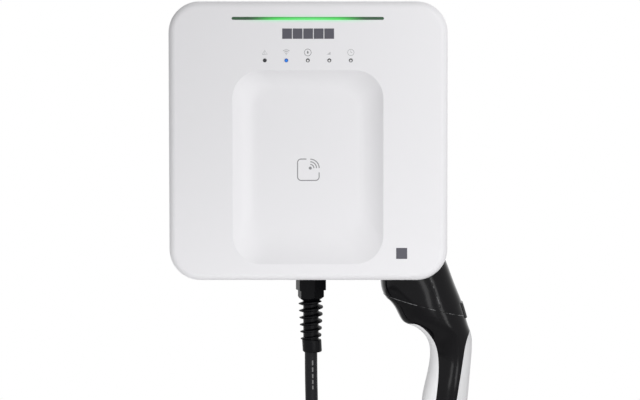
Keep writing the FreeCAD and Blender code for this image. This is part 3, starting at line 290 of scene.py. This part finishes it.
# %% A value that can be reckoned with
class Value:
    """An output socket. Sums on it become Math nodes."""

    def __init__(self, tree, socket):
        self.tree = tree
        self.socket = socket

    def maths(self, operation, *items):
        node = self.tree.nodes.new("ShaderNodeMath")
        node.operation = operation
        for slot, item in zip(node.inputs, items):
            connect(self.tree, slot, item)
        return Value(self.tree, node.outputs[0])

    def __add__(self, other):
        return self.maths("ADD", self, other)

    def __sub__(self, other):
        return self.maths("SUBTRACT", self, other)

    def __mul__(self, other):
        return self.maths("MULTIPLY", self, other)

    def __truediv__(self, other):
        return self.maths("DIVIDE", self, other)

    def __rsub__(self, other):
        return self.maths("SUBTRACT", other, self)

    __radd__ = __add__
    __rmul__ = __mul__

    def size(self):
        return self.maths("ABSOLUTE", self)

    def root(self):
        return self.maths("SQRT", self)

    def fraction(self):
        return self.maths("FRACT", self)

    def between(self, low, high):
        """0 below low and 1 above high, smooth between them. Low may be the larger one."""
        node = self.tree.nodes.new("ShaderNodeMapRange")
        node.interpolation_type = "SMOOTHSTEP"
        turned = low > high
        node.inputs["From Min"].default_value = min(low, high)
        node.inputs["From Max"].default_value = max(low, high)
        node.inputs["To Min"].default_value = 1.0 if turned else 0.0
        node.inputs["To Max"].default_value = 0.0 if turned else 1.0
        connect(self.tree, node.inputs["Value"], self)
        return Value(self.tree, node.outputs[0])


def connect(tree, slot, item):
    """Gives a socket a link or a plain value."""
    if isinstance(item, Value):
        tree.links.new(item.socket, slot)
    elif isinstance(item, tuple) and len(item) == 3 and len(slot.default_value) == 4:
        slot.default_value = (*item, 1)
    else:
        slot.default_value = item


class Finish:
    """A material with one Principled surface, and its constants on the surface's own sockets."""

    def __init__(self, name, **constants):
        self.material = bpy.data.materials.new(name)
        self.material.use_nodes = True
        self.tree = self.material.node_tree
        self.surface = self.tree.nodes["Principled BSDF"]
        self.sockets = {item.name.lower().replace(" ", "_"): item for item in self.surface.inputs}
        for socket, value in constants.items():
            self.set(socket, value)

    def set(self, socket, item):
        """Sets a socket of the surface, named in Python's way."""
        connect(self.tree, self.sockets[socket], item)

    def node(self, kind, settings=None, inputs=None, output=0):
        """Any node: its type, its settings, and the values or links of its sockets."""
        made = self.tree.nodes.new("ShaderNode" + kind)
        for key, value in (settings or {}).items():
            setattr(made, key, value)
        for key, item in (inputs or {}).items():
            connect(self.tree, made.inputs[key], item)
        return Value(self.tree, made.outputs[output])

    def split(self, vector):
        """The three parts of a vector."""
        parts = self.node("SeparateXYZ", inputs={0: vector})
        return [Value(self.tree, item) for item in parts.socket.node.outputs]

    def place(self):
        """The three coordinates of the object."""
        return self.split(self.node("TexCoord", output="Object"))

    def noise(self, scale, detail=2.0):
        """Even noise over the object, from 0 to 1."""
        place = self.node("TexCoord", output="Object")
        return self.node("TexNoise", inputs={"Vector": place, "Scale": scale, "Detail": detail})

    def mix(self, share, first, second):
        """Colour between two colours."""
        return self.node("Mix", {"data_type": "RGBA"}, {0: share, 6: first, 7: second}, output=2)

    def bump(self, height, strength, distance):
        """Relief of a height map."""
        inputs = {"Strength": strength, "Distance": distance, "Height": height}
        self.set("normal", self.node("Bump", inputs=inputs))

    def glow(self, color):
        """Light that the surface gives off."""
        self.set("emission_color", color)
        self.set("emission_strength", 1.0)


# %% [markdown]
# ## Moulded plastics
#
# Injection-moulded parts are never mirror smooth: the mould's steel is polished or spark-eroded, and the
# plastic copies it. A very fine bump gives the white cover its satin look, and a coarser one the dark
# housing. Large soft noise in the roughness keeps wide faces from looking computed.

# %% Plastics
CLOUD_SCALE = 9.0
CLOUD_DETAIL = 3.0
GRAIN_STRENGTH = 0.35


def plastic(name, color, roughness, grain_scale, grain_depth, specular=0.5, cloud=0.06):
    """Moulded plastic with a fine grain and slightly uneven gloss."""
    finish = Finish(name, base_color=color, specular_ior_level=specular)
    finish.set("roughness", roughness + cloud * (finish.noise(CLOUD_SCALE, CLOUD_DETAIL) - 0.5))
    finish.bump(finish.noise(grain_scale), GRAIN_STRENGTH, grain_depth)
    return finish


HOUSING_DARK = plastic("spark_eroded_black", (0.022, 0.022, 0.024), roughness=0.52,
                       grain_scale=1400, grain_depth=0.00012).material
GLAND_NYLON = plastic("black_nylon", (0.003, 0.003, 0.0038), roughness=0.34,
                      grain_scale=900, grain_depth=0.00006, specular=0.1).material
CUP_DARK = plastic("holster_black", (0.014, 0.014, 0.016), roughness=0.45,
                   grain_scale=1200, grain_depth=0.0001).material
COMPONENT_BLACK = plastic("component_black", (0.02, 0.02, 0.02), roughness=0.5,
                          grain_scale=900, grain_depth=0.00005).material
RELAY_WHITE = plastic("relay_white", (0.6, 0.6, 0.57), roughness=0.42,
                      grain_scale=900, grain_depth=0.00004).material
TERMINAL_GREY = plastic("terminal_grey", (0.12, 0.15, 0.14), roughness=0.45,
                        grain_scale=900, grain_depth=0.00005).material
print("plastics:", [item.name for item in bpy.data.materials if "black" in item.name])

# %% [markdown]
# ## The cover's white, and the light on it
#
# The green bar lights its own slot, and some of the light spills on to the white plastic above and below
# it. We paint that spill with emission, masked by the distance from the slot: a soft halo in the middle
# that fades to the ends. A mask in object coordinates stays where it is from any side.

# %% White cover
SLOT_Z = 128.8 * MM
SLOT_HALF = 80.0 * MM
COVER_COLOR = (0.80, 0.795, 0.815)
HALO_COLOR = (0.56, 0.86, 0.66)
HALO_GLOW = (0.0, 0.05, 0.01)
HALO_STARTS = 1.0 * MM
HALO_ENDS = 5.5 * MM
HALO_ABOVE = 0.35
HALF_FADE = 0.5 * MM
FACE_FADES = 2 * MM
FACE_ENDS = 4 * MM


def slot_share(place):
    """1 at the middle of the light bar and 0 at its ends, and the distance above the bar's middle line."""
    return 1 - place[0].size() / SLOT_HALF, place[2] - SLOT_Z


def make_cover_white():
    """White plastic with a green halo round the bar, weaker above it, on the front face only."""
    finish = plastic("cover_white", COVER_COLOR, roughness=0.34,
                     grain_scale=1500, grain_depth=0.00002, specular=0.45, cloud=0.04)
    place = finish.place()
    along, above = slot_share(place)
    below = above.between(HALF_FADE, -HALF_FADE)
    near = above.size().between(HALO_ENDS, HALO_STARTS) * along.between(0.0, 0.6)
    side = below * (1 - HALO_ABOVE) + HALO_ABOVE
    halo = near * side * place[1].between(front_y + FACE_ENDS, front_y + FACE_FADES)
    # The halo is painted light: a green tint in the base colour, and a faint glow as well.
    finish.set("base_color", finish.mix(halo, COVER_COLOR, HALO_COLOR))
    finish.glow(finish.mix(halo, (0, 0, 0), HALO_GLOW))
    return finish.material


COVER_WHITE = make_cover_white()
print("cover:", COVER_WHITE.name)

# %% [markdown]
# The bar itself is a clear moulding, bright green in its middle. Towards its ends the lamps behind it are
# off, and the slot turns to a deep green and then to black. The slot's edge shades the upper half of the
# bar.

# %% Light bar
BAR_BODY = (0.01, 0.03, 0.015)
BAR_DEEP = (0.012, 0.055, 0.018)
BAR_GREEN = (0.06, 0.70, 0.09)
BAR_BRIGHT = (0.11, 0.80, 0.17)
BAR_SHADE = (0.004, 0.02, 0.006)
SHADE_SHARE = 0.45
SHADE_FROM = 0.9 * MM
SHADE_TO = -0.6 * MM


def make_light_bar():
    """Clear bar with green light, brightest in its middle."""
    finish = Finish("lit_bar", base_color=BAR_BODY, roughness=0.25)
    along, above = slot_share(finish.place())
    side = finish.mix(along.between(0.20, 0.66), BAR_DEEP, BAR_GREEN)
    lit = finish.mix(along.between(0.5, 1.0), side, BAR_BRIGHT)
    shaded = finish.mix(SHADE_SHARE, lit, BAR_SHADE)
    finish.glow(finish.mix(above.between(SHADE_FROM, SHADE_TO), shaded, lit))
    return finish.material


LIT_BAR = make_light_bar()
print("light bar:", LIT_BAR.name)

# %% [markdown]
# ## Indicator lenses
#
# Five small round lenses sit below the bar. Each is a clear pipe with a dark rim of painted shade, where the
# hole's edge shades it. The first is dark all over, the second is lit blue, and the other three have a pale
# middle, which is a painted highlight. The pattern is a distance from a spot a little below the lens's own
# middle.

# %% Lenses
LENS_COUNT = 5
LIT_LENS = 2
SPOT_LOW = 0.35 * MM
RIM_STARTS = 0.7 * MM
RIM_ENDS = 1.5 * MM
LENS_DARK = (0.03, 0.03, 0.035)

# Colours of the middle and the rim: the pale middle is a painted highlight, and each darker rim is painted
# shade
BLUE_LENS_AND_RIM_SHADE = [(0.01, 0.08, 0.3), (0.01, 0.03, 0.15)]
BLUE_LIGHT = [(0.01, 0.17, 0.55), (0.005, 0.06, 0.25)]
PAINTED_HIGHLIGHT_AND_RIM_SHADE = [(0.75, 0.75, 0.76), (0.02, 0.02, 0.024)]


def make_lens(number):
    """Finish of one lens, with a rim of painted shade round the lens's own middle, and a painted highlight in
    the pale ones.
    """
    low, high = box_of("indicator_lens_" + str(number))
    middle = (low + high) / 2
    finish = Finish("lens_" + str(number), base_color=LENS_DARK, roughness=0.2)
    place = finish.place()
    across = place[0] - middle.x
    above = place[2] - middle.z + SPOT_LOW
    # The rim mask darkens the lens's edge: painted shade from the hole's edge.
    rim = (across * across + above * above).root().between(RIM_STARTS, RIM_ENDS)
    if number == LIT_LENS:
        finish.set("base_color", finish.mix(rim, *BLUE_LENS_AND_RIM_SHADE))
        finish.glow(finish.mix(rim, *BLUE_LIGHT))
    elif number > LIT_LENS:
        finish.set("base_color", finish.mix(rim, *PAINTED_HIGHLIGHT_AND_RIM_SHADE))
    return finish.material


LENSES = {"indicator_lens_" + str(n): make_lens(n) for n in range(1, LENS_COUNT + 1)}
print("lenses:", len(LENSES))

# %% [markdown]
# ## Rubber, cable sheath and fabric
#
# The cable's sheath is satin black and a little uneven. Along one side runs a pale printed line of plain
# dashes. It is set by the curve's own map: its first coordinate runs along the cable and its second round
# it.

# %% Cable, rubber and tie
DASHES = 1400.0
DASHES_PER_GROUP = 7
PRINT_SIDE = 0.64
PRINT_WIDE = 0.02
PRINT_STRENGTH = 0.6
PRINT_GREY = (0.3, 0.3, 0.3)
SHEATH_BLACK = (0.008, 0.008, 0.0095)


def make_cable_sheath():
    """Black sheath with a broken pale line."""
    finish = Finish("cable_sheath", roughness=0.45, specular_ior_level=0.16)
    along, around = finish.split(finish.node("UVMap"))[:2]
    line = (around - PRINT_SIDE).size().between(PRINT_WIDE, PRINT_WIDE * 0.6)
    steps = along * DASHES
    dash = steps.fraction().between(0.30, 0.36)
    group = (steps / DASHES_PER_GROUP).fraction().between(0.28, 0.30)
    finish.set("base_color", finish.mix(line * dash * group * PRINT_STRENGTH, SHEATH_BLACK, PRINT_GREY))
    finish.bump(finish.noise(700), strength=0.3, distance=0.00008)
    return finish.material


CABLE_SHEATH = make_cable_sheath()
SOFT_RUBBER = plastic("soft_rubber", (0.013, 0.013, 0.014), roughness=0.6,
                      grain_scale=600, grain_depth=0.0001, specular=0.35).material


def make_tie_fabric():
    """Hook-and-loop band: small loops in rows."""
    finish = Finish("tie_fabric", base_color=(0.012, 0.012, 0.013), roughness=0.9, sheen_weight=0.25)
    place = finish.node("TexCoord", output="Object")
    loops = finish.node("TexVoronoi", inputs={"Vector": place, "Scale": 900.0})
    finish.bump(loops, strength=0.6, distance=0.0004)
    return finish.material


TIE_FABRIC = make_tie_fabric()
print("soft finishes: 3")


# %% [markdown]
# ## The connector's finishes
#
# The connector is moulded in two plastics: a polished black body, and soft pale pads where the fingers and
# the palm hold it. The pad on the palm's side is painted a little greyer, as painted shade. The edges of the
# shell carry grey patches of painted highlight.

# %% Connector
POLISHED = (0.003, 0.0028, 0.0036)
HIGHLIGHT_GREY = (0.16, 0.16, 0.165)
GRIP_BLACK = plastic("polished_black", POLISHED, roughness=0.13,
                     grain_scale=500, grain_depth=0.00001, specular=0.16, cloud=0.03).material


def make_rubbed_edge():
    """Polished black with grey patches of painted highlight."""
    finish = Finish("rubbed_edge", roughness=0.25, specular_ior_level=0.3)
    # Grey patches in the base colour: a painted highlight along the shell's edges.
    highlight_patches = finish.noise(150).between(0.45, 0.62)
    finish.set("base_color", finish.mix(highlight_patches, POLISHED, HIGHLIGHT_GREY))
    return finish.material


HIGHLIT_EDGE = make_rubbed_edge()
GRIP_WHITE = plastic("soft_pale_grip", (0.85, 0.85, 0.86), roughness=0.55,
                     grain_scale=1300, grain_depth=0.00006, specular=0.4).material
# A darker copy of the pale grip plastic: painted shade for the outer pad.
GRIP_SHADED_COPY = plastic("palm_side_grip", (0.69, 0.69, 0.70), roughness=0.55,
                    grain_scale=1300, grain_depth=0.00006, specular=0.4).material
print("connector:", GRIP_BLACK.name, HIGHLIT_EDGE.name, GRIP_WHITE.name, GRIP_SHADED_COPY.name)


# %% [markdown]
# ## Metal and boards
#
# Zinc plate has a soft bluish shine with a faint spangle. The boards show solder resist over copper: a deep
# green with slightly lighter tracks. They are inside the case, but whoever opens it sees them.

# %% Metal and boards
SPANGLE = 0.12


def metal(name, color, roughness):
    """Plated or bare metal with a faint spangle."""
    finish = Finish(name, base_color=color, metallic=1.0)
    finish.set("roughness", roughness + SPANGLE * (finish.noise(160, 3.0) - 0.5))
    finish.bump(finish.noise(1200), strength=0.15, distance=0.00003)
    return finish.material


ZINC = metal("zinc_plate", (0.62, 0.63, 0.62), 0.34)
BRASS = metal("bare_brass", (0.75, 0.53, 0.22), 0.28)
SILVER = metal("silver_plate", (0.85, 0.84, 0.82), 0.2)


def make_board():
    """Green solder resist over rows of copper tracks."""
    finish = Finish("solder_resist", roughness=0.3)
    tracks = finish.node("TexBrick", inputs={
        "Vector": finish.node("TexCoord", output="Object"),
        "Scale": 160.0,
        "Mortar Size": 0.02,
        "Color1": (0.006, 0.07, 0.025),
        "Color2": (0.008, 0.085, 0.03),
        "Mortar": (0.02, 0.14, 0.05),
    })
    finish.set("base_color", tracks)
    return finish.material


BOARD = make_board()
CORE_COLORS = {
    "line_core": ("brown_insulation", (0.07, 0.025, 0.01)),
    "neutral_core": ("blue_insulation", (0.01, 0.05, 0.32)),
    "earth_core": ("green_insulation", (0.08, 0.26, 0.01)),
    "pilot_core": ("white_insulation", (0.6, 0.6, 0.58)),
}
INSULATION = {
    core: plastic(name, color, roughness=0.4, grain_scale=600, grain_depth=0.00003).material
    for core, (name, color) in CORE_COLORS.items()
}
print("metals and boards:", ZINC.name, BRASS.name, SILVER.name, BOARD.name, len(INSULATION))

# %% [markdown]
# ## Dress the CAD nodes
#
# One table says which finish the nodes of each slot wear, and a second one names the nodes with their own
# finish.

# %% Give every node its finish
FINISH_OF_SLOT = {
    "cover_white": COVER_WHITE,
    "housing_black": HOUSING_DARK,
    "seal_rubber": SOFT_RUBBER,
    "light_clear": LIT_BAR,
    "board_green": BOARD,
    "component_black": COMPONENT_BLACK,
    "relay_white": RELAY_WHITE,
    "terminal_grey": TERMINAL_GREY,
    "brass": BRASS,
    "steel_zinc": ZINC,
    "gland_black": GLAND_NYLON,
    "cable_black": CABLE_SHEATH,
    "grip_black": GRIP_BLACK,
    "grip_white": GRIP_WHITE,
    "contact_silver": SILVER,
    "tie_black": TIE_FABRIC,
}
OWN_FINISH = {
    **LENSES,
    **INSULATION,
    "holster_cup": CUP_DARK,
    "connector_nose": CUP_DARK,
    # The outer pad wears the darker copy of the grip plastic, which is painted shade.
    "grip_outer": GRIP_SHADED_COPY,
}
slot_of_node = {part["node"]: part["material_slot"] for part in frame["record"]["subparts"]}


def dress(node, material):
    """Puts a material on a CAD node or a new piece."""
    node.data.materials.clear()
    node.data.materials.append(material)


for name, node in frame["nodes"].items():
    dress(node, OWN_FINISH.get(name) or FINISH_OF_SLOT[slot_of_node[name]])
dress(charging_cable, CABLE_SHEATH)
print("dressed:", len(frame["nodes"]) + 1)


# %% [markdown]
# ## Printed marks
#
# The case carries a few plain signs: a row of slate tiles under the light bar, a row of small pictograms
# over the lenses, a contactless sign in the dish and a slate tile near the corner. A sign is drawn as
# chains of points. Blender makes a curve of a chain, gives it a round section and turns it into a mesh. A
# strong flattening then leaves a thin layer of ink.

# %% Tools for marks
INK_HIGH = 0.04 * MM
TILE_THICK = 0.15
ARC_STEP = 12
FEWEST_STEPS = 4


def arc(x, z, radius, start, end):
    """Points of an arc, from one angle to another in degrees."""
    steps = max(FEWEST_STEPS, int(abs(end - start) / ARC_STEP))
    angles = [math.radians(start + (end - start) * k / steps) for k in range(steps + 1)]
    return [(x + radius * math.cos(angle), z + radius * math.sin(angle)) for angle in angles]


def select_only(piece):
    bpy.ops.object.select_all(action="DESELECT")
    piece.select_set(True)
    bpy.context.view_layer.objects.active = piece


def printed(name, chains, width, y, material):
    """Printed lines of some width along chains of points, all in millimetres, on the surface at y."""
    points = []
    edges = []
    for chain in chains:
        first = len(points)
        points += [(x * MM, 0, z * MM) for x, z in chain]
        edges += [(k, k + 1) for k in range(first, len(points) - 1)]
    lines = bpy.data.meshes.new(name)
    lines.from_pydata(points, edges, [])
    piece = bpy.data.objects.new(name, lines)
    bpy.context.scene.collection.objects.link(piece)
    select_only(piece)
    bpy.ops.object.convert(target="CURVE")
    piece = bpy.context.object
    piece.data.bevel_depth = width * MM / 2
    piece.data.bevel_resolution = 1
    piece.data.use_fill_caps = True
    bpy.ops.object.convert(target="MESH")
    piece = bpy.context.object
    piece.scale.y = INK_HIGH / (width * MM / 2)
    piece.location.y = y
    settle(piece, material)


def plate(name, x, z, width, height, material):
    """Thin rectangular plate half sunk in the cover's front, in millimetres."""
    bpy.ops.object.select_all(action="DESELECT")
    bpy.ops.mesh.primitive_cube_add(size=1, location=(x * MM, front_y, z * MM))
    piece = bpy.context.object
    piece.name = name
    piece.scale = (width * MM, 2 * TILE_THICK * MM, height * MM)
    settle(piece, material)


def settle(piece, material):
    """Applies the transforms of a finished piece, gives it its material and ties it to the case."""
    select_only(piece)
    bpy.ops.object.transform_apply(location=True, rotation=True, scale=True)
    dress(piece, material)
    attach(piece, "root")
    return piece


# %% [markdown]
# The pictograms stand for a warning, the wireless network, the power, the signal and the time. The first
# and the last are printed paler and the third darker. The contactless sign is an open rounded square whose
# corner gives way to three arcs.

# %% Draw the marks
STRIP_TILES = 5
STRIP_PITCH = 11.05
STRIP_MIDDLE = (0.4, 112.8)
STRIP_TILE_SIZE = (10.2, 10.8)
CORNER_TILE_PLACE = (98.8, -118.5)
CORNER_TILE_SIZE = (11.6, 11.6)
SIGN_Z = 93.1
SIGN_PITCH = 22.6
SIGN_LINE = 0.62
DISH_DEEP = 9 * MM
WAVES_MIDDLE = (2.0, -28.6)
WAVE_RADII = (3.9, 6.7, 9.5)
CONTACTLESS_LINE = 1.2
SLATE = plastic("slate_plastic", (0.085, 0.083, 0.103), roughness=0.35,
                grain_scale=900, grain_depth=0.00002, specular=0.4).material


def ink(name, color):
    """Matte printed ink."""
    return Finish(name, base_color=color, roughness=0.5).material


INK = ink("grey_ink", (0.30, 0.30, 0.31))
DARK_SIGN = ink("sign_ink", (0.24, 0.24, 0.25))
PALE_INK = ink("pale_ink", (0.42, 0.42, 0.43))
DARK_INK = ink("dark_ink", (0.17, 0.17, 0.18))


def dot(x, z, radius):
    """A dot as a small ring, whose line is as wide as the ring."""
    return arc(x, z, radius, 0, 360)


def pictograms():
    """Each sign's lines round its own middle, with its ink."""
    warning = [[(-2.6, -2.0), (2.6, -2.0), (0, 2.4), (-2.6, -2.0)], [(0, 1.0), (0, -0.2)], dot(0, -1.1, 0.1)]
    network = [arc(0, -2.3, radius, 48, 132) for radius in (1.7, 3.4, 5.1)] + [dot(0, -2.3, 0.15)]
    spark = [(0, 1.7), (0.7, -0.5), (0, -1.2), (-0.7, -0.5), (0, 1.7)]
    power = [arc(0, 0, 3.6, 90, 450), spark, [(0, 0.6), (0, -0.6)]]
    signal = [[(-2.2 + k, -2.3), (-2.2 + k, -1.9 + 0.8 * k)] for k in range(4)]
    clock = [arc(0, 0, 3.3, 90, 450), [(0, 2.0), (0, 0), (1.5, 0)]]
    return [(warning, PALE_INK), (network, INK), (power, DARK_INK), (signal, INK), (clock, PALE_INK)]


def draw_pictograms():
    """The row of small signs."""
    for number, (chains, sign_ink) in enumerate(pictograms()):
        middle = (number - 2) * SIGN_PITCH
        moved = [[(x + middle, z + SIGN_Z) for x, z in chain] for chain in chains]
        printed("pictogram_" + str(number + 1), moved, SIGN_LINE, front_y, sign_ink)


def draw_contactless():
    """Open rounded square with three arcs round a dot, on the floor of the dish."""
    left, right, bottom, top, corner = -11.5, 11.4, -41.7, -19.0, 3.8
    frame_line = [(-2.0, top)] + arc(left + corner, top - corner, corner, 90, 180)
    frame_line += arc(left + corner, bottom + corner, corner, 180, 270)
    frame_line += arc(right - corner, bottom + corner, corner, 270, 360) + [(right, -33.2)]
    waves = [arc(*WAVES_MIDDLE, radius, 0, 90) for radius in WAVE_RADII]
    dish_y = front_y + DISH_DEEP
    printed("contactless_sign", [frame_line] + waves, CONTACTLESS_LINE, dish_y, DARK_SIGN)
    printed("contactless_dot", [dot(*WAVES_MIDDLE, 0.85)], 1.8, dish_y, DARK_SIGN)


def draw_tiles():
    """The row of slate tiles under the light bar, and the one near the corner."""
    middle_x, z = STRIP_MIDDLE
    for number in range(STRIP_TILES):
        x = middle_x + (number - STRIP_TILES // 2) * STRIP_PITCH
        plate("strip_tile_" + str(number + 1), x, z, *STRIP_TILE_SIZE, SLATE)
    plate("corner_tile", *CORNER_TILE_PLACE, *CORNER_TILE_SIZE, SLATE)


draw_pictograms()
draw_contactless()
draw_tiles()


# %% [markdown]
# ## Collar of the gland
#
# The spiral ends in a plain collar that grips the cable. It stands a little off the gland's middle, as the
# cable pulls it.

# %% Collar
COLLAR_PLACE = (1.7 * MM, CABLE_Y, -227 * MM)
COLLAR_RADIUS = 10.2 * MM
COLLAR_LONG = 13.5 * MM
FLARE_BELOW = 0.3 * MM
TAPER_ABOVE = 0.4 * MM
RIM_ROUNDING = 0.9 * MM


def make_collar():
    """Slightly flared ring with rounded rims."""
    bpy.ops.object.select_all(action="DESELECT")
    bpy.ops.mesh.primitive_cone_add(
        vertices=64, radius1=COLLAR_RADIUS + FLARE_BELOW, radius2=COLLAR_RADIUS - TAPER_ABOVE,
        depth=COLLAR_LONG, location=COLLAR_PLACE)
    collar = bpy.context.object
    collar.name = "gland_collar"
    rims = collar.modifiers.new("rims", "BEVEL")
    rims.width = RIM_ROUNDING
    rims.segments = 3
    bpy.ops.object.modifier_apply(modifier="rims")
    bpy.ops.object.shade_smooth_by_angle(angle=math.radians(40))
    return settle(collar, GLAND_NYLON)


gland_collar = make_collar()
print("collar:", len(gland_collar.data.vertices), "vertices")

# %% [markdown]
# ## Edges of the connector's shell
#
# The head's shell ends in a slanting crease all round the connector, and a panel on its front has a raised
# edge. Each is a thin bead. Its points are found by rays that fall on the body, so the bead follows the
# moulding.

# %% Crease and panel edge
CREASE_MIDDLE = Vector((127.6 * MM, CABLE_Y, -181.1 * MM))
CREASE_WAY = Vector((0.9671, 0, -0.2544))
TOWARDS_WALL = Vector((0, 1, 0))
OUTSIDE = 90 * MM
BEAD_RADIUS = 0.4 * MM
PANEL_CORNERS = [(131.2, -148.7), (142.3, -180.7), (135.0, -179.6)]
CREASE_STEPS = 120
PANEL_STEPS = 24
BUTTON_GAP = 2 * MM


def on_body(start, way):
    """Where a ray falls on the connector's body, or None."""
    hit, place = frame["nodes"]["connector_body"].ray_cast(start, way)[:2]
    return place if hit else None


def clear_of_button(place):
    """Whether a place is away from the thumb button, which moves."""
    low, high = box_of("thumb_button")
    return not all(low[k] - BUTTON_GAP < place[k] < high[k] + BUTTON_GAP for k in range(3))


def crease_points():
    """Points round the body in the crease's slanting plane, from one side of the button to the other."""
    points = []
    for step in range(CREASE_STEPS):
        turn = 2 * math.pi * step / CREASE_STEPS
        out = CREASE_WAY * math.cos(turn) + TOWARDS_WALL * math.sin(turn)
        place = on_body(CREASE_MIDDLE + out * OUTSIDE, -out)
        if place and clear_of_button(place):
            points.append(tuple(place))
    return points


def panel_points():
    """Points along the panel's edge on the front of the body."""
    points = []
    for first, last in zip(PANEL_CORNERS, PANEL_CORNERS[1:]):
        for step in range(PANEL_STEPS):
            share = step / PANEL_STEPS
            x = (first[0] + (last[0] - first[0]) * share) * MM
            z = (first[1] + (last[1] - first[1]) * share) * MM
            place = on_body(Vector((x, CABLE_Y - OUTSIDE, z)), TOWARDS_WALL)
            if place:
                points.append(tuple(place))
    return points


def make_bead(name, points):
    """Thin round bead along points on the body."""
    line = bpy.data.meshes.new(name)
    line.from_pydata(points, [(k, k + 1) for k in range(len(points) - 1)], [])
    bead = bpy.data.objects.new(name, line)
    bpy.context.scene.collection.objects.link(bead)
    select_only(bead)
    bpy.ops.object.convert(target="CURVE")
    bead = bpy.context.object
    bead.data.bevel_depth = BEAD_RADIUS
    bead.data.bevel_resolution = 2
    bead.data.use_fill_caps = True
    bpy.ops.object.convert(target="MESH")
    return settle(bpy.context.object, HIGHLIT_EDGE)


shell_crease = make_bead("shell_crease", crease_points())
panel_edge = make_bead("panel_edge", panel_points())
print("beads:", len(shell_crease.data.vertices), len(panel_edge.data.vertices))

# %% [markdown]

# %% [markdown]
# ## Floor
#
# A plain pale floor lies below the hanging coil, outside the picture. It gives the other views something to
# stand over, and sends some light up under the case.

# %% Floor
FLOOR_GAP = 0.02
FLOOR_PLACE = (0, -0.1, cad_box[0][2] - FLOOR_GAP)
FLOOR_RADIUS = 0.95
FLOOR_COLOR = (0.86, 0.86, 0.86)


def make_floor():
    """Round matte floor."""
    bpy.ops.object.select_all(action="DESELECT")
    bpy.ops.mesh.primitive_circle_add(
        vertices=96, radius=FLOOR_RADIUS, fill_type="NGON", location=FLOOR_PLACE)
    floor = bpy.context.object
    floor.name = "pale_floor"
    dress(floor, Finish("floor_paint", base_color=FLOOR_COLOR, roughness=0.8).material)
    return floor


make_floor()
print("floor at", round(FLOOR_PLACE[2], 3))
